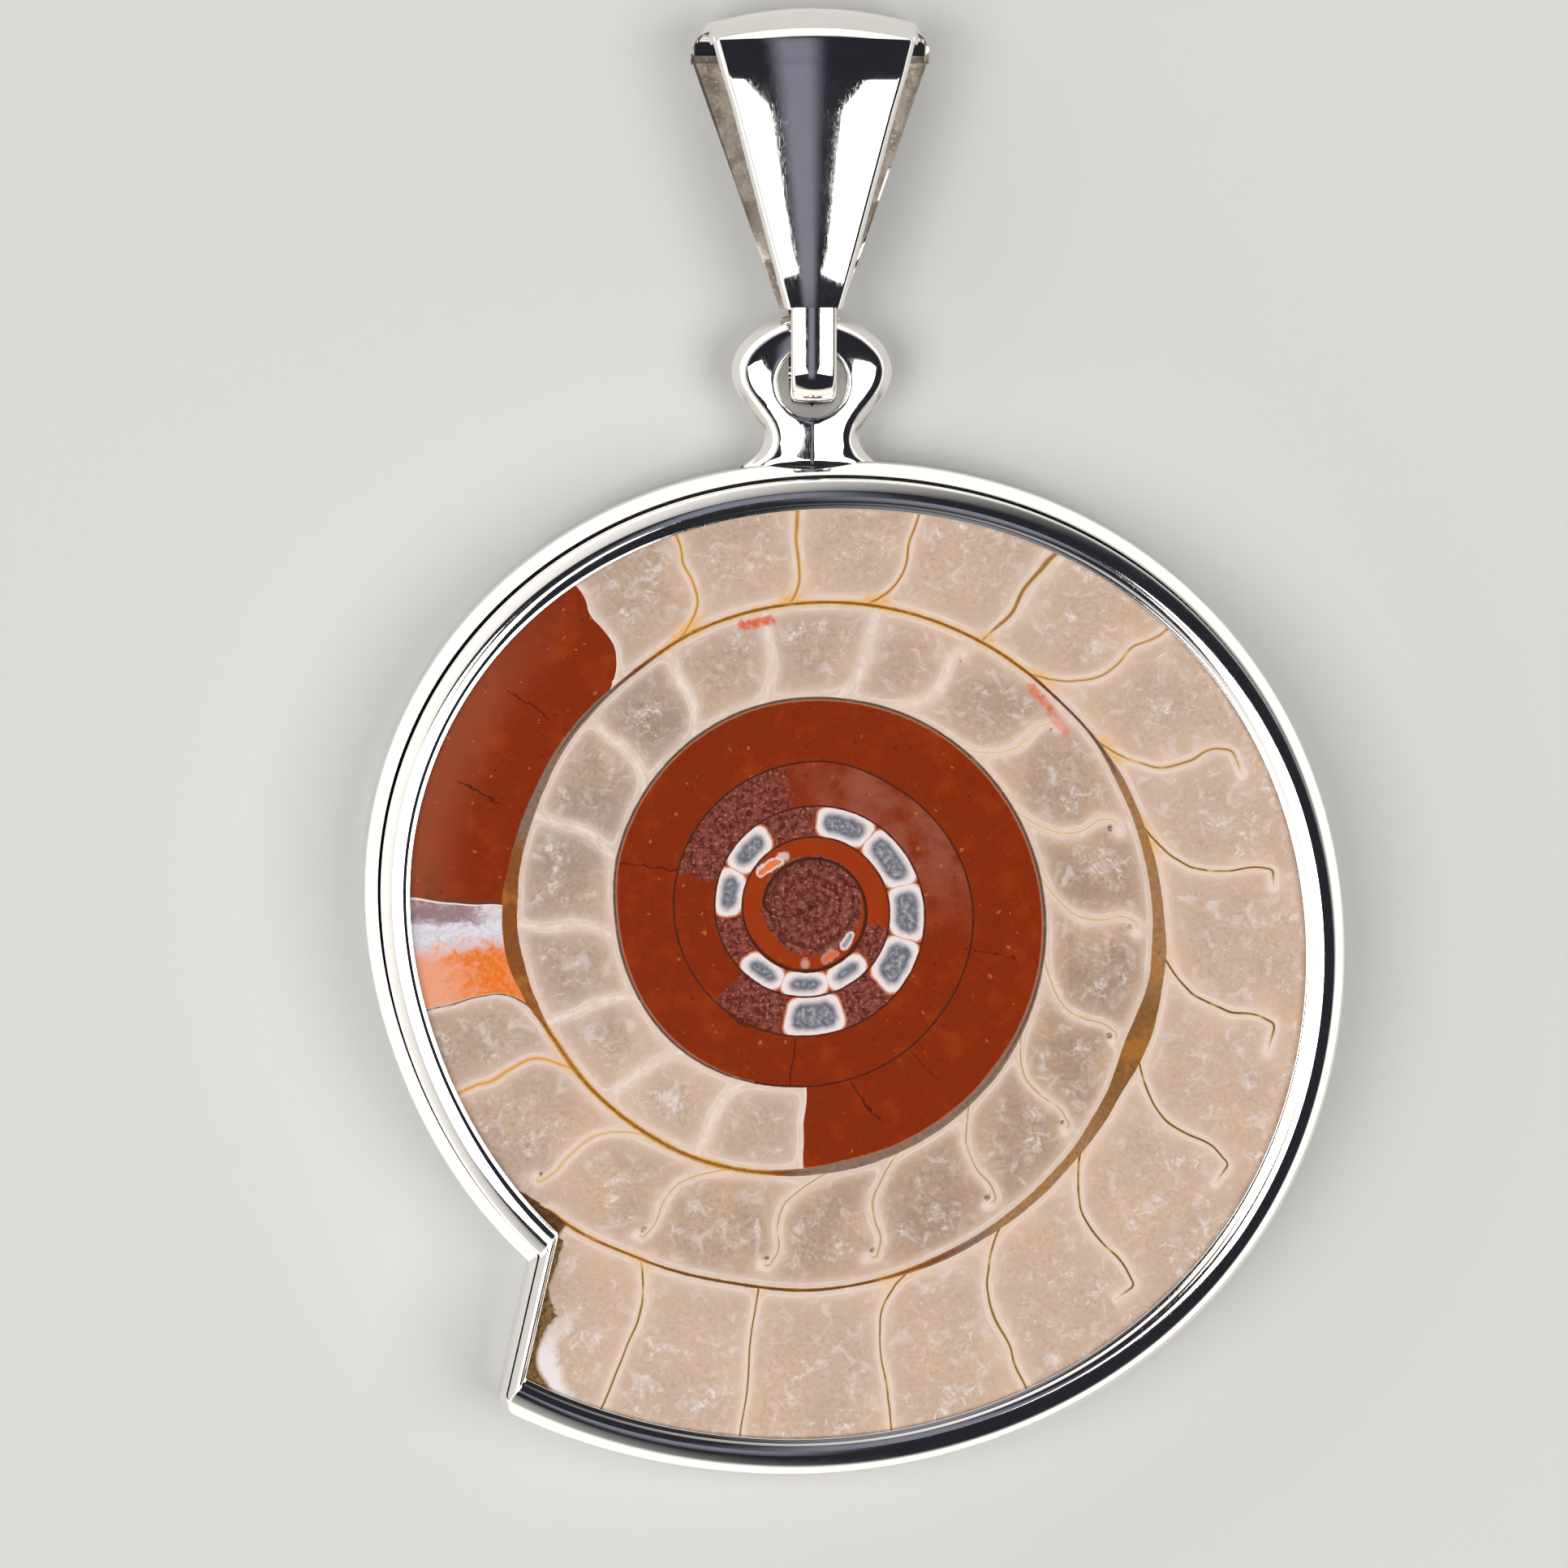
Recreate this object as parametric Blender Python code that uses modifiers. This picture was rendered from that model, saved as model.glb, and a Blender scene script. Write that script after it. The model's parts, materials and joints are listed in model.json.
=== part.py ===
"""Ammonite pendant: a polished ammonite half set in a silver bezel, with a hinged bail, lying on its back.

The model is laid out round the ammonite's spiral centre, in millimetres times MM. X runs to the right of the
polished face, Y towards the bail, and Z up out of the face. "Turn" is the growth angle in degrees: it runs
clockwise from the notch where the shell's mouth overlaps the whorl before it. "Inset" is the distance inwards
from the outside of the setting. The last step puts the bottom centre of the whole pendant at the origin.
"""

import math

import bmesh
import bpy
import numpy as np
from mathutils import Matrix, Vector

MM = 0.001
GAP = 0.035  # between pieces that touch

# The setting's outside, seen from the front.
NOTCH_ANGLE = 232.4  # polar angle of the notch, in degrees
TURN_STEP = 30.0  # the rim radii below are this far apart, clockwise from the notch
RIM_RADII = (16.06, 15.54, 15.69, 15.73, 15.55, 15.74, 16.90, 18.20, 19.22, 20.07, 20.24, 20.40, 20.95)
MOUTH_TURN = 354.0  # turn of the last rim radius, at the lip of the mouth
MOUTH_SHARE = 0.40  # along the mouth the setting is this much as wide as it is elsewhere
NOTCH_ROUND = (0.30, 0.75)  # radius of the notch's bend on the outside, and at the bezel's lip
MOUTH_ROUND = 0.75  # radius of the corner at the lip of the mouth, on the outside
SHARP_ROUND = 0.10  # the least radius that an inner corner keeps
AROUND, ALONG_MOUTH, IN_BEND = 72, 4, 3  # facets along the rim, along the mouth, and in each corner
RIM_STEPS = 360  # steps of the exact rim, from which the facets' corners are taken

# Insets and heights of the setting's cross-section.
FRAME_THICK = 0.55
FRAME_HIGH = 2.96
FRAME_SHOULDER = 2.10
BEZEL_IN = 1.45
LIP_IN = 1.62
BEARING_IN = 2.15
BEARING_LOW, BEARING_HIGH = 2.50, 3.10
BEZEL_TOP = 5.00

# The ammonite half.
FACE_HIGH = 4.60
WHORL_GROWTH = 1.44  # each whorl is this much wider than the one before it
WALL_AT_NOTCH = 13.75  # radius of the whorl wall at the notch
EGG = 0.031  # how much the spiral leans away from +Y
WHORLS = 5
SEAM_DEEP, SEAM_SLOPE = 0.90, 0.10  # depth of the seam between two whorls: a base, and more with its radius
SWELL = 0.38  # how far a whorl's flank bulges past its seams, as a share of its width
RIB = 0.10  # height of the flank's ribs, one to every four columns
ACROSS = 4  # facets across a whorl

# The eye that the bail hangs from, and the bail's own link.
EYE_X = 0.18
EYE_THICK = 1.20
HINGE_Y, HINGE_Z = 20.00, 2.42
EYE_PILLOW = 0.36
HOLE_Y, HOLE_RADIUS = 18.36, 1.22
LINK_OUTER, LINK_DROP, LINK_WIDE, LINK_THICK = 1.50, 1.00, 1.60, 0.40

# The bail: a tapered strip folded over at the top. "Up" is above the hinge, and "deep" is to each side of it.
BAIL_THICK = 0.45
ARCH_STEPS = 12
FOOT_UP, SHOULDER_UP, BROW_UP, ARCH_RISE = 0.90, 9.70, 10.45, 1.07
FOOT_DEEP, SHOULDER_DEEP, BROW_DEEP = 1.52, 2.37, 2.05
FRONT_WIDE = (2.06, 6.70, 7.10)  # at the foot, the shoulder and the brow
BACK_WIDE = (2.20, 8.40, 8.40)

SILVER = ("silver", (0.91, 0.90, 0.88, 1.0), 0.08, 1.0)
STONE = ("stone", (0.66, 0.52, 0.42, 1.0), 0.15, 0.0)


def clear_scene():
    for obj in list(bpy.data.objects):
        bpy.data.objects.remove(obj)


def collection(name):
    made = bpy.data.collections.new(name)
    bpy.context.scene.collection.children.link(made)
    return made


def material(name, colour, roughness, metallic):
    made = bpy.data.materials.new(name)
    made.use_nodes = True
    shader = made.node_tree.nodes["Principled BSDF"]
    shader.inputs["Base Color"].default_value = colour
    shader.inputs["Roughness"].default_value = roughness
    shader.inputs["Metallic"].default_value = metallic
    return made


def object_from(bm, name, into):
    mesh = bpy.data.meshes.new(name)
    bm.to_mesh(mesh)
    bm.free()
    made = bpy.data.objects.new(name, mesh)
    into.objects.link(made)
    return made


def mesh_copy(curve_object, name, into):
    """The curve as a welded mesh object in the same place. The curve itself is removed."""
    bpy.context.view_layer.update()
    graph = bpy.context.evaluated_depsgraph_get()
    mesh = bpy.data.meshes.new_from_object(curve_object.evaluated_get(graph))
    bm = bmesh.new()
    bm.from_mesh(mesh)
    bmesh.ops.remove_doubles(bm, verts=bm.verts, dist=0.001 * MM)
    made = object_from(bm, name, into)
    made.matrix_world = curve_object.matrix_world.copy()
    bpy.data.objects.remove(curve_object)
    return made


def finish(obj, look):
    """Gives a piece its material and smooth round faces."""
    obj.data.materials.append(look)
    obj.data.shade_smooth()
    obj.data.set_sharp_from_angle(angle=math.radians(35))


# The outline of the setting -------------------------------------------------------------------------------


def spline_slopes(values, step):
    """The slopes of the natural cubic spline through evenly spaced values."""
    count = len(values)
    grid = np.diag(np.full(count, 4.0)) + np.eye(count, k=1) + np.eye(count, k=-1)
    grid[0, 0] = grid[-1, -1] = 2.0
    ahead = np.append(values[1:], values[-1])
    behind = np.insert(values[:-1], 0, values[0])
    return np.linalg.solve(grid, 3.0 * (ahead - behind) / step)


RIM_SLOPES = spline_slopes(np.array(RIM_RADII), 1.0)


def rim_radius(turn):
    """The outside radius at a turn. The last station stands closer than the others do."""
    last = TURN_STEP * (len(RIM_RADII) - 2)
    if turn < last:
        place = turn / TURN_STEP
    else:
        place = len(RIM_RADII) - 2 + (turn - last) / (MOUTH_TURN - last)
    index = min(int(place), len(RIM_RADII) - 2)
    t = place - index
    start, end = RIM_RADII[index], RIM_RADII[index + 1]
    slope_in, slope_out = RIM_SLOPES[index], RIM_SLOPES[index + 1]
    return (
        start * (2 * t**3 - 3 * t**2 + 1)
        + slope_in * (t**3 - 2 * t**2 + t)
        + end * (3 * t**2 - 2 * t**3)
        + slope_out * (t**3 - t**2)
    )


def polar(turn, radius):
    angle = math.radians(NOTCH_ANGLE - turn)
    return Vector((math.cos(angle), math.sin(angle))) * radius


def turn_of(point):
    """The turn of a point on the rim. The mouth leaves a gap of a few degrees before the notch."""
    gap = 5.0
    return (NOTCH_ANGLE + gap - math.degrees(math.atan2(point.y, point.x))) % 360 - gap


def inward(direction):
    """The normal on the ammonite's side of a clockwise outline."""
    return Vector((direction.y, -direction.x)).normalized()


def crossing(point_a, way_a, point_b, way_b):
    """Where two straight lines in the plane meet."""
    across = way_a.x * way_b.y - way_a.y * way_b.x
    apart = point_b - point_a
    return point_a + way_a * ((apart.x * way_b.y - apart.y * way_b.x) / across)


def walk(points, start, end, count):
    """Evenly spaced points along a polyline, from a distance after its start to one before its end."""
    steps = [(b - a).length for a, b in zip(points, points[1:])]
    length = sum(steps)
    walked, index, passed = [], 0, 0.0
    for n in range(count):
        target = start + (length - start - end) * n / (count - 1)
        while index < len(steps) - 1 and passed + steps[index] < target:
            passed += steps[index]
            index += 1
        walked.append(points[index].lerp(points[index + 1], (target - passed) / steps[index]))
    return walked


def bend(before, corner, after, count):
    """Points between two ends of a rounded corner, on a parabola."""
    made = []
    for n in range(1, count + 1):
        t = n / (count + 1)
        made.append(before * (1 - t) ** 2 + corner * 2 * t * (1 - t) + after * t**2)
    return made


def outline(inset):
    """A closed clockwise outline of the setting, moved inwards. Every inset gives as many points."""
    turns = [MOUTH_TURN * n / RIM_STEPS for n in range(RIM_STEPS + 1)]
    rim = [polar(turn, rim_radius(turn)) for turn in turns]
    notch, mouth = rim[0], rim[-1]
    mouth_way = (notch - mouth).normalized()
    mouth_in = inward(mouth_way)
    moved = []
    for n, point in enumerate(rim):
        way = rim[min(n + 1, RIM_STEPS)] - rim[max(n - 1, 0)]
        moved.append(point + inward(way) * inset)
    on_mouth_line = mouth + mouth_in * inset * MOUTH_SHARE
    while (moved[-2] - on_mouth_line).dot(mouth_in) < 0:
        moved.pop()
    mouth_corner = crossing(moved[-2], moved[-1] - moved[-2], on_mouth_line, mouth_way)
    moved[-1] = mouth_corner
    notch_corner = crossing(moved[0], moved[1] - moved[0], on_mouth_line, mouth_way)
    moved.insert(0, notch_corner)

    notch_round = NOTCH_ROUND[0] + (NOTCH_ROUND[1] - NOTCH_ROUND[0]) * min(inset / LIP_IN, 1.0)
    mouth_round = max(MOUTH_ROUND - inset, SHARP_ROUND)
    notch_cut = notch_round * math.tan((moved[2] - moved[1]).angle(mouth_way) / 2)
    mouth_cut = mouth_round * math.tan((moved[-1] - moved[-2]).angle(mouth_way) / 2)
    lobe = walk(moved, notch_cut, mouth_cut, AROUND)
    mouth_line = walk([mouth_corner, notch_corner], mouth_cut, notch_cut, ALONG_MOUTH)
    mouth_bend = bend(lobe[-1], mouth_corner, mouth_line[0], IN_BEND)
    notch_bend = bend(mouth_line[-1], notch_corner, lobe[0], IN_BEND)
    return lobe + mouth_bend + mouth_line + notch_bend


def ring(name, profile, into):
    """A closed ring. Its cross-section is a loop of (inset, height) points, clockwise from the outside."""
    bm = bmesh.new()
    loops = []
    for inset, high in profile:
        loops.append([bm.verts.new((p.x * MM, p.y * MM, high * MM)) for p in outline(inset)])
    for lower, upper in zip(loops, loops[1:] + loops[:1]):
        for n in range(len(lower)):
            bm.faces.new((lower[n - 1], lower[n], upper[n], upper[n - 1]))
    bmesh.ops.recalc_face_normals(bm, faces=bm.faces)
    return object_from(bm, name, into)


# The setting ----------------------------------------------------------------------------------------------


def boolean(obj, other, operation):
    made = obj.modifiers.new(operation.lower(), "BOOLEAN")
    made.operation = operation
    made.object = other


def eye_plate(into):
    """The pear-shaped plate of the eye, with pillowed edges. Its foot ends inside the frame's wall."""
    # The right half from the top down: a knot, the way the curve runs there, and its two handles' lengths.
    half = (
        ((0.00, 20.83), (1.00, 0.00), 1.45, 1.45),
        ((2.82, 18.80), (0.00, -1.00), 1.05, 1.05),
        ((1.66, 16.45), (-0.10, -1.00), 0.50, 0.50),
        ((3.10, 15.12), (1.00, -0.20), 0.60, 0.00),
        ((0.00, 15.32), (-1.00, 0.00), 0.80, 0.80),
    )
    knots = [(Vector(place), Vector(way).normalized(), before, after) for place, way, before, after in half]
    for place, way, before, after in reversed(knots[1:-1]):
        knots.append((Vector((-place.x, place.y)), Vector((way.x, -way.y)), after, before))
    curve = bpy.data.curves.new("eye_plate", "CURVE")
    curve.dimensions = "2D"
    curve.fill_mode = "BOTH"
    curve.extrude = EYE_THICK / 2 * MM
    curve.resolution_u = 7
    spline = curve.splines.new("BEZIER")
    spline.bezier_points.add(len(knots) - 1)
    for target, (place, way, before, after) in zip(spline.bezier_points, knots):
        target.co = (*(place * MM), 0.0)
        target.handle_left = (*((place - way * before) * MM), 0.0)
        target.handle_right = (*((place + way * after) * MM), 0.0)
    spline.use_cyclic_u = True
    shape = bpy.data.objects.new("eye_plate_curve", curve)
    into.objects.link(shape)
    shape.location = Vector((EYE_X, 0.0, HINGE_Z)) * MM
    plate = mesh_copy(shape, "eye_plate", into)
    pillow = plate.modifiers.new("pillow", "BEVEL")
    pillow.width = EYE_PILLOW * MM
    pillow.segments = 3
    pillow.limit_method = "ANGLE"
    pillow.angle_limit = math.radians(60)
    return plate


def hole_cutter(into):
    bm = bmesh.new()
    radius = HOLE_RADIUS * MM
    bmesh.ops.create_cone(
        bm, cap_ends=True, segments=32, radius1=radius, radius2=radius, depth=2 * EYE_THICK * MM
    )
    cutter = object_from(bm, "hole_cutter", into)
    cutter.location = Vector((EYE_X, HOLE_Y, HINGE_Z)) * MM
    return cutter


def frame(into, helpers):
    """The outer frame of the setting, cast in one with the eye. It stands on its flat back edge."""
    profile = (
        (0.00, 0.12),
        (0.00, FRAME_SHOULDER),
        (0.08, FRAME_SHOULDER + 0.22),
        (0.42, FRAME_HIGH - 0.08),
        (FRAME_THICK - 0.06, FRAME_HIGH),
        (FRAME_THICK, FRAME_HIGH - 0.08),
        (FRAME_THICK, 0.00),
        (0.12, 0.00),
    )
    made = ring("frame", profile, into)
    boolean(made, eye_plate(helpers), "UNION")
    boolean(made, hole_cutter(helpers), "DIFFERENCE")
    return made


def bezel(into):
    """The bezel strip: a rounded rim, a lip over the face's edge, and a bearing that the ammonite sits on."""
    outer = FRAME_THICK + GAP
    wall = outer + 0.60
    profile = (
        (outer, 0.10),
        (outer, 4.25),
        (outer + 0.08, 4.62),
        (outer + 0.27, 4.88),
        (outer + 0.50, BEZEL_TOP),
        (outer + 0.74, 4.93),
        (LIP_IN - 0.04, 4.74),
        (LIP_IN, FACE_HIGH + GAP),
        (BEZEL_IN, FACE_HIGH + GAP),
        (BEZEL_IN, BEARING_HIGH),
        (BEARING_IN, BEARING_HIGH),
        (BEARING_IN, BEARING_LOW),
        (wall, BEARING_LOW),
        (wall, 0.10),
    )
    return ring("bezel", profile, into)


# The ammonite half ----------------------------------------------------------------------------------------


def wall_radius(turn):
    """Radius of the whorl wall, a spiral that grows by the same ratio each whorl. Turn 0 is at the notch."""
    lean = 1 - EGG * math.sin(math.radians(NOTCH_ANGLE - turn))
    return WALL_AT_NOTCH * WHORL_GROWTH ** (turn / 360) * lean


def seam_point(turn):
    radius = wall_radius(turn)
    return Vector((*polar(turn, radius), FACE_HIGH - SEAM_DEEP - SEAM_SLOPE * radius))


def ammonite_half(into):
    """The shell cut in half: a flat polished face in front, and the coiled flank of the shell behind.

    The flank is one strip of columns that winds outwards. A column runs from the seam with the whorl inside
    to the seam with the whorl outside. In the last whorl it ends at the seat, which lies on the bearing.
    """
    seat_high = BEARING_HIGH + GAP
    seat = [Vector((*p, seat_high)) for p in outline(BEARING_IN + GAP)]
    turns = [turn_of(p) for p in seat[:AROUND]]
    bm = bmesh.new()

    def corner(place):
        return bm.verts.new(place * MM)

    seat_loop = [corner(p) for p in seat]
    seams = [seat_loop[:AROUND]]
    for whorl in range(1, WHORLS + 1):
        seams.append([corner(seam_point(turn - 360 * whorl)) for turn in turns])

    columns = []
    for whorl in reversed(range(WHORLS)):
        for n in range(AROUND):
            inner, outer = seams[whorl + 1][n], seams[whorl][n]
            width = (outer.co - inner.co).xy.length / MM
            column = [inner]
            for k in range(1, ACROSS):
                place = inner.co.lerp(outer.co, k / ACROSS) / MM
                arch = math.sin(math.pi * k / ACROSS) ** 0.7
                place.z -= arch * (SWELL * width + RIB * math.cos(math.pi / 2 * n))
                column.append(corner(place))
            columns.append(column + [outer])
    for before, after in zip(columns, columns[1:]):
        for k in range(ACROSS):
            bm.faces.new((before[k], before[k + 1], after[k + 1], after[k]))

    # The first column starts beside the innermost shell, and the last one ends at the mouth.
    middle = corner(Vector((0.0, 0.0, FACE_HIGH - SEAM_DEEP)))
    core = seams[WHORLS]
    for a, b in zip(core, core[1:]):
        bm.faces.new((middle, a, b))
    bm.faces.new((middle, core[-1], *reversed(columns[0])))
    bm.faces.new((*columns[-1], *seat_loop[AROUND:], seat_loop[0]))

    # The rim: out along the bearing, up inside the bezel, and the face.
    loops = [seat_loop]
    for high in (seat_high, FACE_HIGH):
        loops.append([corner(Vector((*p, high))) for p in outline(BEZEL_IN + GAP)])
    for lower, upper in zip(loops, loops[1:]):
        for n in range(len(lower)):
            bm.faces.new((lower[n - 1], lower[n], upper[n], upper[n - 1]))
    bm.faces.new(loops[-1])
    bmesh.ops.triangulate(bm, faces=[f for f in bm.faces if len(f.verts) > 4])
    bmesh.ops.recalc_face_normals(bm, faces=bm.faces)
    return object_from(bm, "ammonite_half", into)


# The bail -------------------------------------------------------------------------------------------------


def strap(name, path, thickness, into):
    """A strip that follows (up, depth, width) stations. Its thickness goes to its right-hand side."""
    bm = bmesh.new()
    edges = []
    for up, deep, wide in path:
        edges.append([bm.verts.new((side * wide / 2 * MM, up * MM, deep * MM)) for side in (-1, 1)])
    for (a, b), (c, d) in zip(edges, edges[1:]):
        bm.faces.new((a, b, d, c))
    made = object_from(bm, name, into)
    shell = made.modifiers.new("shell", "SOLIDIFY")
    shell.thickness = thickness * MM
    shell.offset = -1
    shell.use_even_offset = True
    made.location = Vector((EYE_X, HINGE_Y, HINGE_Z)) * MM
    return made


def bail(into):
    """The folded strip: a flat front up to the shoulder, a short slope to the brow, the arch, and the back."""
    ups, deeps = (FOOT_UP, SHOULDER_UP, BROW_UP), (FOOT_DEEP, SHOULDER_DEEP, BROW_DEEP)
    front = list(zip(ups, deeps, FRONT_WIDE))
    back = [(up, -deep, wide) for up, deep, wide in zip(ups, deeps, BACK_WIDE)]
    arch = []
    for n in range(1, ARCH_STEPS):
        share = n / ARCH_STEPS
        deep = BROW_DEEP * math.cos(math.pi * share)
        rise = ARCH_RISE * (1 - (deep / BROW_DEEP) ** 2) ** 0.8
        arch.append((BROW_UP + rise, deep, FRONT_WIDE[-1] + (BACK_WIDE[-1] - FRONT_WIDE[-1]) * share))
    return strap("bail", front + arch + back[::-1], BAIL_THICK, into)


def bail_link(into):
    """The flat loop that carries the bail: down the eye's front, back through the hole, and up behind."""
    top = FOOT_UP - GAP
    path = [(top, LINK_OUTER, LINK_WIDE)]
    for n in range(ARCH_STEPS + 1):
        angle = math.pi * n / ARCH_STEPS
        place = (-LINK_DROP - LINK_OUTER * math.sin(angle), LINK_OUTER * math.cos(angle), LINK_WIDE)
        path.append(place)
    path.append((top, -LINK_OUTER, LINK_WIDE))
    return strap("bail_link", path[::-1], LINK_THICK, into)


# The pendant ----------------------------------------------------------------------------------------------


def empty(name, into, place=(0.0, 0.0, 0.0)):
    made = bpy.data.objects.new(name, None)
    made.location = place
    into.objects.link(made)
    return made


def hang(pieces, parent):
    """Parents the pieces and keeps them where they are."""
    for piece in pieces:
        piece.location -= parent.location
        piece.parent = parent


def bottom_centre(objects):
    bpy.context.view_layer.update()
    graph = bpy.context.evaluated_depsgraph_get()
    corners = []
    for obj in objects:
        seen = obj.evaluated_get(graph)
        corners += [seen.matrix_world @ v.co for v in seen.data.vertices]
    low = Vector(min(c[axis] for c in corners) for axis in range(3))
    high = Vector(max(c[axis] for c in corners) for axis in range(3))
    return Vector(((low.x + high.x) / 2, (low.y + high.y) / 2, low.z))


def build():
    clear_scene()
    pieces = collection("ammonite_pendant")
    helpers = collection("cutters")
    silver = material(*SILVER)
    stone = material(*STONE)

    fixed = [frame(pieces, helpers), bezel(pieces), ammonite_half(pieces)]
    swinging = [bail(pieces), bail_link(pieces)]
    for piece in fixed + swinging:
        finish(piece, stone if piece.name == "ammonite_half" else silver)
    for helper in helpers.objects:
        helper.hide_render = True
        helper.display_type = "WIRE"

    shift = bottom_centre(fixed + swinging)
    hinge = empty("bail_hinge", pieces, Vector((EYE_X, HINGE_Y, HINGE_Z)) * MM)
    hang(swinging, hinge)
    pendant = empty("pendant", pieces)
    hang(fixed + list(helpers.objects) + [hinge], pendant)
    pendant.location = -shift


build()
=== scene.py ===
# A polished ammonite half in a silver pendant setting, lying on its back under two soft lights.
import json
import math
from functools import partial
from types import SimpleNamespace

import bmesh
import bpy
import numpy as np
from mathutils import Matrix, Vector


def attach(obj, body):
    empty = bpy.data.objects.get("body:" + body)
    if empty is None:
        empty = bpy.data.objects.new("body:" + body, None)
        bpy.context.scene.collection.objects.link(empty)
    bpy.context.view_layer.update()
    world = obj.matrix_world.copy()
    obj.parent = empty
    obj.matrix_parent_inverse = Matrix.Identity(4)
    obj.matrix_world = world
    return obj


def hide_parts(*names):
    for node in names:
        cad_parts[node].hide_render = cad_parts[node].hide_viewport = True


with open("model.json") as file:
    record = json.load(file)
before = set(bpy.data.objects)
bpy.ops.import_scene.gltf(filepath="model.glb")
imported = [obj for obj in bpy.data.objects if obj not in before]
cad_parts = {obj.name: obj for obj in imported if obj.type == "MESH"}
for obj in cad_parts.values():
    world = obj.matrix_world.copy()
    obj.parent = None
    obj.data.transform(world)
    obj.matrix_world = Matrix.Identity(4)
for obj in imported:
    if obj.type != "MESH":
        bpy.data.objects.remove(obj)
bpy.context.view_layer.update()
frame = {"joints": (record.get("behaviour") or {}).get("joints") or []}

# Lengths below are in millimetres, measured from the spiral's centre, which lies this far from the hinge.
mm = 0.001
hingePlace = {"right": 0.18, "up": 20.0, "high": 2.42}
hinge = Vector(frame["joints"][0]["pos_m"])
spiralCentre = hinge - Vector(tuple(hingePlace.values())) * mm


def spread(bm, points, material=0):
    # adds a grid with a vertex at each of points[column][row]; its UV map keeps the shares along and across
    along, across = len(points) - 1, len(points[0]) - 1
    half = 0.5
    made = bmesh.ops.create_grid(bm, x_segments=along, y_segments=across, size=half)["verts"]
    layer = bm.loops.layers.uv.verify()
    for face in {face for vert in made for face in vert.link_faces}:
        face.material_index = material
        for loop in face.loops:
            loop[layer].uv = (loop.vert.co.x + half, loop.vert.co.y + half)
    for vert in made:
        column, row = round((vert.co.x + half) * along), round((vert.co.y + half) * across)
        vert.co = spiralCentre + Vector(points[column][row]) * mm


def weld(bm, reach=0.001 * mm):
    bmesh.ops.remove_doubles(bm, verts=bm.verts, dist=reach)
    bmesh.ops.recalc_face_normals(bm, faces=bm.faces)


def addPiece(name, bm, body, materials, nodes, sharp=40):
    mesh = bpy.data.meshes.new(name)
    bm.to_mesh(mesh)
    bm.free()
    for material in materials:
        mesh.materials.append(material)
    mesh.shade_smooth()
    mesh.set_sharp_from_angle(angle=math.radians(sharp))
    piece = bpy.data.objects.new(name, mesh)
    bpy.context.scene.collection.objects.link(piece)
    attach(piece, body)
    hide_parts(*nodes)
    return piece


def between(value, stations):
    # smooth values between (place, value) stations, level at each station
    places, values = np.array(sorted(stations), float).T
    value = np.clip(value, places[0], places[-1])
    index = np.clip(np.searchsorted(places, value, side="right") - 1, 0, len(places) - 2)
    share = (value - places[index]) / (places[index + 1] - places[index])
    return values[index] + (values[index + 1] - values[index]) * ease(share)


def ease(share):
    share = np.clip(share, 0, 1)
    return share * share * (3 - 2 * share)


# The outline that the setting and the fossil share. "Turn" is the shell's growth angle, clockwise from the
# notch, and "inset" the distance inwards from the outside.
setting = {
    "notchAngle": 232.4,
    "turnStep": 30.0,
    "rimRadii": (16.06, 15.54, 15.69, 15.73, 15.55, 15.74, 16.90, 18.20, 19.22, 20.07, 20.24, 20.40, 20.95),
    "mouthTurn": 354.0,
    "mouthShare": 0.40,  # how wide the setting is along the mouth, against elsewhere
    "notchRound": (0.30, 0.75),  # outside, and at the lip
    "mouthRound": 0.75,
    "sharpRound": 0.10,
    "lip": 1.62,
    "rimSteps": 720,
    "around": 400,
    "mouthSteps": 30,
    "bendSteps": 12,
}


def rimRadius(turns):
    radii = np.array(setting["rimRadii"])
    count = len(radii)
    grid = np.diag(np.full(count, 4.0)) + np.eye(count, k=1) + np.eye(count, k=-1)
    grid[0, 0] = grid[-1, -1] = 2.0
    rises = np.append(radii[1:], radii[-1]) - np.insert(radii[:-1], 0, radii[0])
    slopes = np.linalg.solve(grid, 3 * rises)
    last = setting["turnStep"] * (count - 2)
    late = count - 2 + (turns - last) / (setting["mouthTurn"] - last)
    station = np.where(turns < last, turns / setting["turnStep"], late)
    index = np.clip(station.astype(int), 0, count - 2)
    t = station - index
    return (
        radii[index] * (2 * t**3 - 3 * t**2 + 1)
        + slopes[index] * (t**3 - 2 * t**2 + t)
        + radii[index + 1] * (3 * t**2 - 2 * t**3)
        + slopes[index + 1] * (t**3 - t**2)
    )


def polar(turns, radii):
    angles = np.radians(setting["notchAngle"] - turns)
    return np.stack((np.cos(angles) * radii, np.sin(angles) * radii), axis=-1)


def crossing(pointA, wayA, pointB, wayB):
    apart = pointB - pointA
    across = wayA[0] * wayB[1] - wayA[1] * wayB[0]
    return pointA + wayA * ((apart[0] * wayB[1] - apart[1] * wayB[0]) / across)


def spaced(points, start, end, count):
    lengths = np.insert(np.cumsum(np.linalg.norm(np.diff(points, axis=0), axis=1)), 0, 0)
    wanted = np.linspace(start, lengths[-1] - end, count)
    return np.stack([np.interp(wanted, lengths, points[:, axis]) for axis in (0, 1)], axis=-1)


def bend(before, corner, after, count):
    t = np.linspace(0, 1, count + 2)[1:-1, None]
    return before * (1 - t) ** 2 + corner * 2 * t * (1 - t) + after * t**2


def cornerCut(wayA, wayB, radius):
    cosine = wayA @ wayB / np.linalg.norm(wayA) / np.linalg.norm(wayB)
    return radius * math.tan(math.acos(np.clip(cosine, -1, 1)) / 2)


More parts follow.
